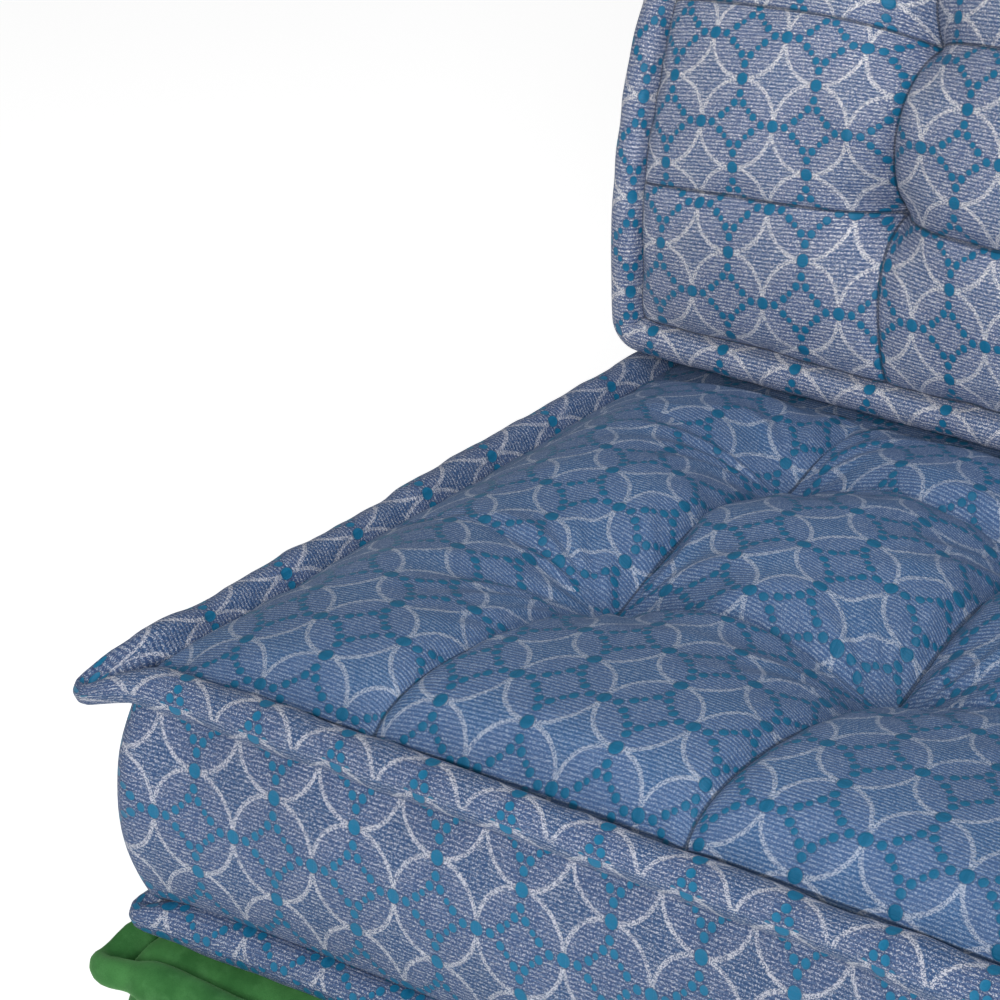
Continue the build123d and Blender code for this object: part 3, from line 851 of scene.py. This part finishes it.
# Flat cushions
def seat_rise(x, y, spots):
    """Height of the seat's cloth over the middle of its top roll."""
    groove, crown = -0.003, 0.047
    side = half_width - tucked_inset - np.abs(x)
    front = y + half_depth - tucked_inset
    crown = pressed_rise + (crown - pressed_rise) * risen(-y, 0.045, 1.3)
    edge = 0.18 * risen(side, 0.004, 1.0) + 0.82 * risen(side, 0.060, 1.25)
    edge = edge * (0.16 * risen(front, 0.004, 1.0) + 0.84 * risen(front, 0.024, 0.9))
    rise = groove + (crown - groove) * edge * funnels(x, y, spots, 0.062, 1.3)
    rows = tuft_places[:2]
    dips = valley(x, y, tuft_places, rows, 0.018, 0.011, 0.004, 0.011)
    dips = dips + valley(y, x, rows, tuft_places, 0.016, 0.001, 0.0, 0.016)
    return rise - dips * edge * risen(-y, 0.02, 2.0)


def seat_top(look):
    """The tufted seat: cloth pinned at its tufts and creases, and pressed flat under the back cushion."""
    columns = [40, 38, 38, 38, 40]
    rows = [44, 38, 24, 16, 16, 16]
    x_stops = [-half_width + tucked_inset, *tuft_places, half_width - tucked_inset]
    y_stops = [-half_depth + tucked_inset, *tuft_places[:2], 0.0, *tuft_places[2:], half_depth - tucked_inset]
    s_all, t_all = stations(columns), stations(rows)
    x0, y0 = between(x_stops, s_all), between(y_stops, t_all)
    flat_x, flat_y = np.meshgrid(x0, y0)
    spots = crossings(tuft_places, tuft_places[:2])
    height = seat_rise(flat_x, flat_y, spots)
    pressed = nearest(flat_x, flat_y, crossings(tuft_places, tuft_places[2:]))
    height = height - 0.005 * np.clip(1 - pressed / 0.017, 0, 1)
    first = first_cell(t_all)[:, None]
    x, y = hollowed(flat_x, flat_y, first, end_cells(s_all)[None])
    x = x + seam_spread * np.interp(flat_x, x_stops, (0, -1, -0.33, 0.33, 1, 0)) * first ** 2
    points = stacked(x, y, seat_rolls[1] + height)
    free = (t_all < 3)[:, None] & np.ones(len(s_all), bool)[None]
    uneven = lumps(points, 11, (0.0016, 0.055), (0.0007, 0.022))
    ease = arch(s_all % 1, 1)[None] * arch(t_all % 1, 1)[:, None]
    gathered = pleats(flat_x, flat_y, spots, 13, 0.028, 0.0088, 13) * arch(s_all % 1, 0.3)[None]
    points[:, :, 2] += (uneven * ease + gathered) * free
    pinned = ~free
    pinned[0, :] = pinned[:, 0] = pinned[:, -1] = True
    pinned[:, np.isclose(s_all % 1, 0)] = True
    gap = nearest(flat_x, flat_y, spots)
    pinned |= gap < 0.004
    points = simulate(points, pinned, np.exp(-(gap / 0.055) ** 2), 0.035)
    u = cloth_run(x0, s_all, height, len(columns))
    v = cloth_run(y0, t_all, height.T, len(rows))
    inner = points.copy()
    inner[:, :, 2] = seat_foam_top
    # seam marks where the jacquard paints shade: along the tuft seams and the line under the rolled edges.
    seam = closeness(flat_x, tuft_places) * np.clip(2 * (3 - t_all), 0, 1)[:, None]
    for place, half in ((flat_x, half_width), (flat_y, half_depth)):
        seam = np.maximum(seam, rim_line(half - tucked_inset + 0.0015 - np.abs(place)))
    pattern = puff_patterns(columns, rows, seat_pattern, (0.0535, 0.0590), 15)
    cloth = stacked(*np.meshgrid(u, v))
    return subdivided(closed_sheet("seat_top_cover", points, cloth, inner, look, seam, pattern))


def pressed_panel(name, inset, low, high, face_up, look, seed, sink=0.0, out_by=0.0):
    """A flat sewn panel of the base or of an underside, dimpled at every tie and sunk towards its edge."""
    x_stops = [-half_width + inset, *tuft_places, half_width - inset]
    y_stops = [-half_depth + inset, *tuft_places, half_depth - inset]
    s_all = stations([22, 24, 24, 24, 22], 0.3)
    x0, y0 = between(x_stops, s_all), between(y_stops, s_all)
    x, y = hollowed(*np.meshgrid(x0, y0), first_cell(s_all)[:, None], end_cells(s_all)[None])
    depth = 0.005 * np.exp(-(nearest(x, y, crossings(tuft_places, tuft_places)) / 0.012) ** 2)
    depth = depth + 0.0008 * (1 + wander(stacked(x, y, 0.0), 0.05, seed)) * 0.5
    edge = np.minimum(half_width - inset - np.abs(x0)[None], half_depth - inset - np.abs(y0)[:, None])
    depth = depth + sink * (1 - risen(edge, 0.006, 1.0))
    plan = bowed(stacked(x, y).reshape(-1, 2), out_by).reshape(*x.shape, 2)
    x, y = plan[..., 0], plan[..., 1]
    top = stacked(x, y, high - depth if face_up else low + depth)
    inner = stacked(x, y, low if face_up else high)
    return closed_sheet(name, top, plan, inner, look, mirrored=not face_up)


# Each ear: how far its tip stands out, lifts, droops and thins, how deep it is pinched, how far the edge
# bows out between ears, and the lowest z
ears = {
    "base": (0.010, 0.0, 0.008, 0.34, 0.20, 0.015, 0.0),
    "seat": (0.0185, 0.002, 0.010, 0.46, 0.10, 0.0, 0.0),
}
low_ear = (0.014, 0.0, 0.003, 0.46, 0.0, 0.0)
dress(seat_top(blue_seat_dim_glints), "seat_cushion", "seat_top_panel")
for name, rolls, look, slot in (
        ("base", base_rolls, green, "green_velvet"), ("seat", seat_rolls, blue_band_mid_glints, "blue_jacquard")):
    low, high = rolls
    upper = rolled_edge(name + "_upper_roll", 0.0, high, look, ears[name], 21)
    lower = rolled_edge(name + "_lower_roll", lower_roll_inset, low, look, (*low_ear, low - roll_radius), 31)
    wall = side_wall(name + "_wall", low, high, look, 0.007, 41, ears[name][5])
    dress(upper, name + "_cushion", name + "_top_roll")
    dress(lower, name + "_cushion", name + "_bottom_roll")
    dress(wall, name + "_cushion", name + "_side_band")
base_top = pressed_panel("base_top_cover", tucked_inset, base_top_face - panel_layer, base_top_face, True,
                         green, 51, 0.014, ears["base"][5])
dress(base_top, "base_cushion", "base_top_panel")
for name, low, look, slot in (
        ("base", 0.0, green, "green_velvet"), ("seat", seat_underside, blue_seat_dim_glints, "blue_jacquard")):
    under = pressed_panel(name + "_underside", lower_roll_inset + seam_inset, low, low + panel_layer, False,
                          look, 52)
    dress(under, name + "_cushion", name + "_bottom_panel")


# Back cushion
def profile(along, depth):
    """Y and Z at a length along the back's side profile and a depth behind it."""
    along = np.asarray(along, float)
    turn = np.maximum(along - back_upright, 0) / back_curve_radius
    reach = back_curve_radius - np.asarray(depth, float)
    y = np.where(along <= back_upright, back_front_y + depth, curve_y - reach * np.cos(turn))
    z = np.where(along <= back_upright, back_roll_z + along, curve_z + reach * np.sin(turn))
    return y, z


def back_swell(x, p, spots):
    """How far the back's cloth stands in front of its profile."""
    crown, tuft = 0.017, -0.037
    edge = risen(half_width - tucked_inset - np.abs(x), 0.008, 0.8)
    edge = edge * risen(p - tucked_inset, 0.006, 0.8) * risen(profile_length - tucked_inset - p, 0.008, 0.8)
    sunk = 1 - funnels(x, p, spots, 0.024, 1.0)
    dips = valley(x, p, tuft_places, back_tuft_rows, 0.016, 0.004, 0.003, 0.009)
    dips = dips + valley(p, x, back_tuft_rows, tuft_places, 0.007, 0.001, 0.003, 0.009)
    return edge * (crown - (crown - tuft) * sunk - dips)


def back_front(look):
    """The tufted front of the back cushion, laid along its curved profile."""
    columns = [38] * 5
    rows = [28, 26, 26, 28]
    x_stops = [-half_width + tucked_inset, *tuft_places, half_width - tucked_inset]
    stops = [tucked_inset, *back_tuft_rows, profile_length - tucked_inset]
    spots = crossings(tuft_places, back_tuft_rows)
    s_all, t_all = stations(columns), stations(rows)
    x0, along = between(x_stops, s_all), between(stops, t_all)
    x, p = np.meshgrid(x0, along)
    ease = arch(s_all % 1, 1)[None] * arch(t_all % 1, 1)[:, None]
    seams = arch(s_all % 1, 0.3)[None] * arch(t_all % 1, 0.3)[:, None]
    front = back_swell(x, p, spots) + lumps(stacked(x, p, 0.0), 61, (0.0014, 0.05), (0.0006, 0.02)) * ease
    front = front + pleats(x, p, spots, 63, 0.020, 0.0045, 11) * seams
    lower = seam_sag * np.interp(p, stops, (0, 1, 1, 1, 0)) * end_cells(s_all)[None] ** 2
    leaning = seam_lean * np.interp(x, x_stops, (0, 1, 0.33, -0.33, -1, 0)) * first_cell(t_all)[:, None]
    points = stacked(x + leaning, *profile(p - lower, -front))
    pinned = np.zeros(x.shape, bool)
    pinned[0, :] = pinned[-1, :] = pinned[:, 0] = pinned[:, -1] = True
    pinned[:, np.isclose(s_all % 1, 0)] = True
    pinned[np.isclose(t_all % 1, 0), :] = True
    points = simulate(points, pinned, np.exp(-(nearest(x, p, spots) / 0.045) ** 2), 0.03)
    u = cloth_run(x0, s_all, front, len(columns))
    v = cloth_run(along, t_all, front.T, len(rows))
    inner = stacked(x, *profile(p, back_quilt_depth))
    # seam marks where the jacquard paints shade: along the tuft seams and the line under the rolled edges.
    seam = np.maximum(closeness(x, tuft_places), closeness(p, back_tuft_rows))
    seam = np.maximum(seam, rim_line(half_width - tucked_inset - np.abs(x)))
    seam = np.maximum(seam, rim_line(np.minimum(p - tucked_inset, profile_length - tucked_inset - p)))
    pattern = puff_patterns(columns, rows, back_pattern, (0.0530, 0.0560), 65)
    cloth = stacked(*np.meshgrid(u, v))
    return subdivided(closed_sheet("back_front_cover", points, cloth, inner, look, seam, pattern))


def framed_roll(name, length, place, facing_of, look, seed, corner=0.0145):
    """A rolled edge round the front or rear of the back cushion. place lifts its flat loop into space."""
    loop = loop_around(half_width, length, corner)
    flat_out = outward(loop)
    path = place(loop)
    out = place(loop + flat_out * 0.001) - path
    out /= np.linalg.norm(out, axis=1, keepdims=True)
    turn = np.linspace(0, 2 * np.pi, steps_around, endpoint=False)
    ear = corner_pull(loop, 0.018, (0, length))
    girth = roll_radius - roll_slack + lumps(path, seed, (0.0010, 0.05), (0.0006, 0.018))
    tuck = np.exp(-((turn - math.radians(158)) / 0.42) ** 2)
    radius = girth[:, None] * (1 - 0.12 * tuck)[None] * (1 - 0.08 * ear)[:, None]
    vertices = (path[:, None] + radius[..., None] * (np.cos(turn)[None, :, None] * out[:, None]
                                                    + np.sin(turn)[None, :, None] * facing_of(loop)[:, None]))
    front = np.abs(flat_out[:, 0]) <= np.abs(flat_out[:, 1])
    return roll_object(name, loop, vertices, turn, front, 0.0, look)


def front_place(loop):
    """The front roll's loop, laid on the curved profile."""
    return stacked(loop[:, 0], *profile(loop[:, 1], 0.0))


def front_facing(loop):
    """Directions square to the profile, out of the front."""
    turn = np.maximum(loop[:, 1] - back_upright, 0) / back_curve_radius
    return stacked(0.0, -np.cos(turn), np.sin(turn))


def rear_place(loop):
    """The rear roll's loop, upright."""
    return stacked(-loop[:, 0], rear_y, back_roll_z + loop[:, 1])


def rear_facing(loop):
    """Directions out of the rear."""
    return np.tile([0.0, 1.0, 0.0], (len(loop), 1))


def d_side(name, sign, look):
    """One D-shaped side of the back cushion: its rim follows the front curve, the top and the rear."""
    columns, levels = 70, 60
    t = np.linspace(0, 1, levels)[:, None]
    s = np.linspace(0, 1, columns)[None]
    low = back_roll_z - roll_radius + 0.001
    y_front, z_front = profile(low - back_roll_z + (profile_length - low + back_roll_z) * t, side_tuck)
    y = y_front * (1 - s) + (rear_y - side_tuck) * s
    z = z_front * (1 - s) + (low + (rear_top_z - low) * t) * s
    z = z + (shoulder_rise * arch(s, 0.7) - shoulder_drop) * t ** 3
    swell = arch(s, 0.5) * arch(t, 0.4)
    bulge = side_edge + 0.0115 * swell + 0.0015 * wander(stacked(sign, y, z), 0.08, 71) * swell
    inner = stacked(sign * (side_edge - 0.0035), y, z)
    return closed_sheet(name, stacked(sign * bulge, y, z), stacked(y, z), inner, look, mirrored=sign < 0)


def top_strip(look):
    """The crowned strip over the back cushion, between its two rolls."""
    columns, levels = 150, 44
    x0 = side_edge * np.sin(np.linspace(-1, 1, columns) * 0.96 * np.pi / 2) / math.sin(0.48 * np.pi)
    y_start, z_start = (float(v) for v in profile(profile_length, side_tuck))
    t = np.linspace(0, 1, levels)
    x, y = np.meshgrid(x0, y_start + (rear_y - side_tuck - y_start) * t)
    edge = np.clip((side_edge - np.abs(x)) / 0.012, 0, 1)
    height = z_start + (rear_top_z - z_start) * t + shoulder_rise * arch(t, 0.7)
    z = height[:, None] - shoulder_drop * (1 - edge) ** 2
    z = z + 0.0014 * wander(stacked(x, y, z), 0.07, 81) * arch(t, 1)[:, None] * edge
    return closed_sheet("back_top_strip", stacked(x, y, z), stacked(x, y), stacked(x, y, back_core_top), look)


def rear_face(look):
    """The rear panel of the back cushion, a little crowned above its zip and tucked in under its roll."""
    columns, levels = 160, 70
    low, high = back_roll_z + tucked_inset, rear_top_z - tucked_inset
    reach = half_width - tucked_inset
    x, t = np.meshgrid(reach * (1 - 2 * shares(columns - 1, 0.5)), shares(levels - 1, 0.5))
    z = low + (high - low) * t
    edge = np.minimum(reach - np.abs(x), np.minimum(z - low, high - z))
    above = np.clip((z - 0.49) / 0.05, 0, 1)
    y = rear_y - 0.0006 + 0.004 * above * arch(t, 0.8)
    y = y + 0.0012 * wander(stacked(x, 0.0, z), 0.08, 91) * above * arch(t, 1) - 0.007 * np.exp(-edge / 0.004)
    inner = stacked(x, rear_y - panel_layer, z)
    # rim_line(edge) marks the line of painted shade under its rolled edge.
    return closed_sheet("back_rear_cover", stacked(x, y, z), stacked(-x, z), inner, look, rim_line(edge))


def back_underside(look):
    """The bottom panel of the back cushion, flat on the seat."""
    x, y = np.meshgrid(np.linspace(side_edge, -side_edge, 90),
                       np.linspace(back_front_y + side_tuck, rear_y - side_tuck, 50))
    floor = back_roll_z - roll_radius
    face = stacked(x, y, floor + 0.0006 * (1 + wander(stacked(x, y, 0.0), 0.06, 95)))
    return closed_sheet("back_underside", face, stacked(x, y), stacked(x, y, floor + panel_layer), look)


front_cover = back_front(blue_back_lit)
front_roll = framed_roll("back_front_edge", profile_length, front_place, front_facing, blue_back_lit, 101, 0.009)
rear_roll = framed_roll("back_rear_edge", rear_top_z - back_roll_z, rear_place, rear_facing, blue_back_lit, 111)
for piece, name, fill in (
        (front_cover, "front_panel", 0.8), (front_roll, "front_roll", 0.9), (rear_roll, "rear_roll", 0.9),
        (d_side("back_left_cover", -1, blue_back_lit), "left_side", 0.8),
        (d_side("back_right_cover", 1, blue_back_lit), "right_side", 0.8),
        (top_strip(blue_back_lit), "top_band", 0.8), (rear_face(blue_back_lit), "rear_panel", 0.8),
        (back_underside(blue_back_lit), "bottom_panel", 0.7)):
    dress(piece, "back_cushion", "back_" + name)


# Foam, ties and zips
def foam_block(name, source):
    """A foam core: the cushion's filling, with the rounded edges of cut foam, just inside its cover."""
    mesh = source.data.copy()
    mesh.transform(source.matrix_world)
    form = bmesh.new()
    form.from_mesh(mesh)
    bmesh.ops.remove_doubles(form, verts=form.verts, dist=1e-5)
    form.to_mesh(mesh)
    form.free()
    mesh.materials.clear()
    mesh.materials.append(finishes["foam"])
    block = linked(name, mesh)
    changed(block.modifiers.new("rounding", "REMESH"), mode="VOXEL", voxel_size=0.012, use_smooth_shade=True)
    changed(block.modifiers.new("easing", "SMOOTH"), iterations=4)
    changed(block.modifiers.new("inset", "DISPLACE"), strength=-0.003, mid_level=0.0)
    return baked(block)


def geometry_tree(name, floats, others):
    """An empty Geometry Nodes tree with a geometry in and out and named inputs, and their identifiers."""
    tree = bpy.data.node_groups.new(name, "GeometryNodeTree")
    labels = {}
    for label, kind in (("Geometry", "Geometry"), *((label, "Float") for label in floats), *others):
        socket = tree.interface.new_socket(label, in_out="INPUT", socket_type="NodeSocket" + kind)
        labels[label] = socket.identifier
    tree.interface.new_socket("Geometry", in_out="OUTPUT", socket_type="NodeSocketGeometry")
    given = node(tree, "NodeGroupInput")
    return tree, labels, {label: Wire(given, label) for label in labels}


def tree_result(tree, *parts):
    """Join the parts of a tree as what it gives out."""
    join = node(tree, "GeometryNodeJoinGeometry")
    for part in parts:
        feed(join.inputs[0], part)
    node(tree, "NodeGroupOutput", [Wire(join)])


def bead(tree, path, radius, sides):
    """A closed round bead along a path, as its wire."""
    ring = node(tree, "GeometryNodeCurvePrimitiveCircle", {"Resolution": sides, "Radius": radius})
    return Wire(node(tree, "GeometryNodeCurveToMesh", {"Curve": path, "Profile Curve": Wire(ring),
                                                      "Fill Caps": True}))


def rod(tree, start, end, radius, sides):
    """A short closed rod between two points, as its wire."""
    line = node(tree, "GeometryNodeCurvePrimitiveLine", {"Start": start, "End": end})
    return bead(tree, Wire(line), radius, sides)


def copies(tree, points, shape, turn=None):
    """Copies of a shape at points, as their wire."""
    values = {"Points": points, "Instance": shape, "Rotation": turn}
    spread = node(tree, "GeometryNodeInstanceOnPoints", values)
    return Wire(node(tree, "GeometryNodeRealizeInstances", [Wire(spread)]))


def row_of(tree, shape, count, start, pitch, turned=None):
    """Copies of a shape along X, every other one turned."""
    line = node(tree, "GeometryNodeMeshLine", {
        "Count": count, "Start Location": start, "Offset": vector(tree, pitch, 0.0, 0.0)})
    if turned:
        odd = maths("MODULO", Wire(node(tree, "GeometryNodeInputIndex")), 2.0)
        turned = vector(tree, None, odd * turned)
    return copies(tree, Wire(line), shape, turned)


def covered(tree, shape, look):
    """A shape with its material, as its wire."""
    return Wire(node(tree, "GeometryNodeSetMaterial", {"Geometry": shape, "Material": look}))


def zip_tree():
    """Coil of a zip and the two lines of stitches that hold its tape, along X from its left end."""
    tree, labels, given = geometry_tree(
        "zip_coil", ("Left", "Face", "Height", "Length", "Pitch", "Stitch pitch", "Stitch reach"),
        [("Look", "Material")])
    left, face, height, length = (given[label] for label in ("Left", "Face", "Height", "Length"))
    tooth = rod(tree, (-0.0005, 0.0, -0.0023), (0.0005, 0.0, 0.0012), 0.0008, 8)
    start = vector(tree, left + given["Pitch"], face + 0.0011, height)
    count = maths("FLOOR", length / given["Pitch"])
    parts = [covered(tree, row_of(tree, tooth, count, start, given["Pitch"], math.pi), given["Look"])]
    stitch = rod(tree, (-0.0012, 0.0, 0.0), (0.0012, 0.0, 0.0), 0.0003, 6)
    count = maths("FLOOR", length / given["Stitch pitch"])
    for side in (-1.0, 1.0):
        start = vector(tree, left + 0.002, face + 0.0001, height + given["Stitch reach"] * side)
        row = row_of(tree, stitch, count, start, given["Stitch pitch"])
        parts.append(covered(tree, row, given["Look"]))
    tree_result(tree, *parts)
    return tree, labels


def tie_tree():
    """Tufting ties: a twine along each edge of the start mesh, with a knot at both of its ends."""
    tree, labels, given = geometry_tree("tufting_ties", ("Twine radius", "Knot radius"),
                                        (("Knot turn", "Vector"), ("Look", "Material")))
    path = node(tree, "GeometryNodeMeshToCurve", [given["Geometry"]])
    twines = bead(tree, Wire(path), given["Twine radius"], 8)
    values = {"Resolution": 14, "Radius": given["Knot radius"] * 0.6}
    loop = node(tree, "GeometryNodeCurvePrimitiveCircle", values)
    wrap = bead(tree, Wire(loop), given["Knot radius"] * 0.4, 8)
    knots = copies(tree, given["Geometry"], wrap, given["Knot turn"])
    tree_result(tree, covered(tree, twines, given["Look"]), covered(tree, knots, given["Look"]))
    return tree, labels


def made_by(name, mesh, made, values):
    """A piece that a Geometry Nodes tree makes from a start mesh, kept as a plain mesh."""
    tree, labels = made
    piece = linked(name, mesh)
    step = piece.modifiers.new("making", "NODES")
    step.node_group = tree
    for label, value in values.items():
        step[labels[label]] = value
    baked(piece)
    piece.data.polygons.foreach_set("use_smooth", [True] * len(piece.data.polygons))
    return piece


def zip_tape_cloth(name, low, high, look):
    """The woven tape of a zip: two bands with a bead beside the coil."""
    x, z = np.meshgrid(np.linspace(high[0], low[0], 240), low[2] + (high[2] - low[2]) * np.linspace(0, 1, 25))
    gap = np.abs(z - (low[2] + high[2]) / 2)
    outer = (high[2] - low[2]) / 2 - gap
    y = high[1] - 0.0001 + 0.00015 * np.exp(-((gap - 0.0040) / 0.0008) ** 2)
    y = y + 0.0001 * wander(stacked(x, 0.0, z), 0.03, 141)
    y = y - 0.0005 * np.exp(-outer / 0.0008) - 0.0004 * np.exp(-(gap / 0.0008) ** 2)
    return closed_sheet(name, stacked(x, y, z), stacked(-x, z), stacked(x, low[1], z), look)


def tie_runs(name):
    """Both ends of every tie of a cushion, just inside its cover."""
    above_floor, under_base_top, over_seat_roll, behind_tuft = 0.0060, 0.0085, 0.0045, 0.041
    if name == "back":
        places = [profile(row, behind_tuft) for row in back_tuft_rows]
        return [((x, float(y), float(z)), (x, rear_y - panel_layer, float(z))) for x, (y, z)
                in crossings(tuft_places, places)]
    floor, tops = seat_underside, [seat_foam_top] * 2 + [seat_rolls[1] + over_seat_roll] * 2
    if name == "base":
        floor, tops = 0.0, [base_top_face - under_base_top] * 4
    return [((x, y, floor + above_floor), (x, y, top)) for x in tuft_places
            for y, top in zip(tuft_places, tops)]


coil_pitch = 0.0026
coil_margin = 0.006
stitch_pitch = 0.0034
stitch_margin = 0.0025
twine_radius = 0.0015
knot_radius = 0.0038
zip_maker = zip_tree()
tie_maker = tie_tree()
colours = {"base": "green", "seat": "blue", "back": "blue"}
for name, colour in colours.items():
    body, slot = name + "_cushion", "zip_tape_" + colour
    low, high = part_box(name + "_zip_tape")
    strip = zip_tape_cloth(name + "_zip_bands", low, high, finishes[slot])
    dress(strip, body, name + "_zip_tape")
    coil = made_by(name + "_zip_coil", bpy.data.meshes.new("start"), zip_maker, {
        "Left": low[0] + coil_margin, "Face": high[1], "Height": (low[2] + high[2]) / 2,
        "Length": high[0] - low[0] - 2 * coil_margin, "Pitch": coil_pitch, "Stitch pitch": stitch_pitch,
        "Stitch reach": (high[2] - low[2]) / 2 - stitch_margin, "Look": finishes["thread_" + colour]})
    dress(coil, body, name + "_zip_chain")
for name, colour in colours.items():
    body, cord = name + "_cushion", "tie_cord_" + colour
    ends = [end for run in tie_runs(name) for end in run]
    start = bpy.data.meshes.new("start")
    start.from_pydata(ends, [(i, i + 1) for i in range(0, len(ends), 2)], [])
    ties = made_by(name + "_ties", start, tie_maker, {
        "Twine radius": twine_radius, "Knot radius": knot_radius, "Look": finishes[cord],
        "Knot turn": (math.pi / 2 * (name == "back"), 0.0, 0.0)})
    dress(ties, body, name + "_tufting_ties")
    dress(foam_block(name + "_foam", frame["nodes"][name + "_core"]), body, name + "_core")
for part in frame["record"]["subparts"]:
    look = finishes.get(part["material_slot"])
    if look:
        shown = frame["nodes"][part["node"]]
        shown.data.materials.clear()
        shown.data.materials.append(look)


# Studio
def studio():
    """White floor, soft lamps and white surroundings."""
    reach = 9
    corners = [(-reach, -reach, 0), (reach, -reach, 0), (reach, reach, 0), (-reach, reach, 0)]
    mesh_object("studio_floor", corners, [(0, 1, 2, 3)], None, white_floor("studio_white"))
    for name, place, aim, size, power in (
            ("key_lamp", (1.7, -3.2, 2.1), (0.0, 0.0, 0.4), 1.3, 88.0),
            ("fill_lamp", (-0.6, -3.4, 1.3), (0.0, 0.0, 0.4), 2.0, 12.0),
            ("top_lamp", (0.5, -0.6, 3.3), (0.0, 0.0, 0.3), 1.6, 20.0)):
        lamp = changed(bpy.data.lights.new(name, "AREA"), energy=power, size=size)
        turn = (Vector(aim) - Vector(place)).to_track_quat("-Z", "Y").to_euler()
        linked(name, lamp, location=place, rotation_euler=turn)
    world = bpy.data.worlds.new("surroundings")
    bpy.context.scene.world = world
    world.use_nodes = True
    tree = world.node_tree
    tree.nodes.clear()
    path = node(tree, "ShaderNodeLightPath")
    seen = maths("MAXIMUM", Wire(path, "Is Camera Ray"), Wire(path, "Is Transmission Ray"))
    glow = node(tree, "ShaderNodeBackground", {
        "Color": (1, 1, 1, 1), "Strength": soft_step(seen, 0.0, 1.0, 0.29, 1.0)})
    node(tree, "ShaderNodeOutputWorld", [Wire(glow)])
    bpy.context.scene.view_settings.view_transform = "Standard"


def photo_camera():
    """The camera of the photograph: a long lens from the front right and above."""
    turn, tilt, roll = (math.radians(v) for v in (37.745, 26.418, -1.566))
    rear = Vector((math.sin(turn) * math.cos(tilt), -math.cos(turn) * math.cos(tilt), math.sin(tilt)))
    right = Vector((math.cos(turn), math.sin(turn), 0))
    up = rear.cross(right)
    right, up = (math.cos(roll) * right + math.sin(roll) * up, math.cos(roll) * up - math.sin(roll) * right)
    lens = changed(bpy.data.cameras.new("photo_camera"), lens=114.88, sensor_width=36, clip_start=0.05,
                   clip_end=40)
    spin = Matrix((right, up, rear)).transposed().to_4x4()
    bpy.context.scene.camera = linked("photo_camera", lens,
                                      matrix_world=Matrix.Translation((0.654, -1.581, 1.222)) @ spin)


studio()
photo_camera()
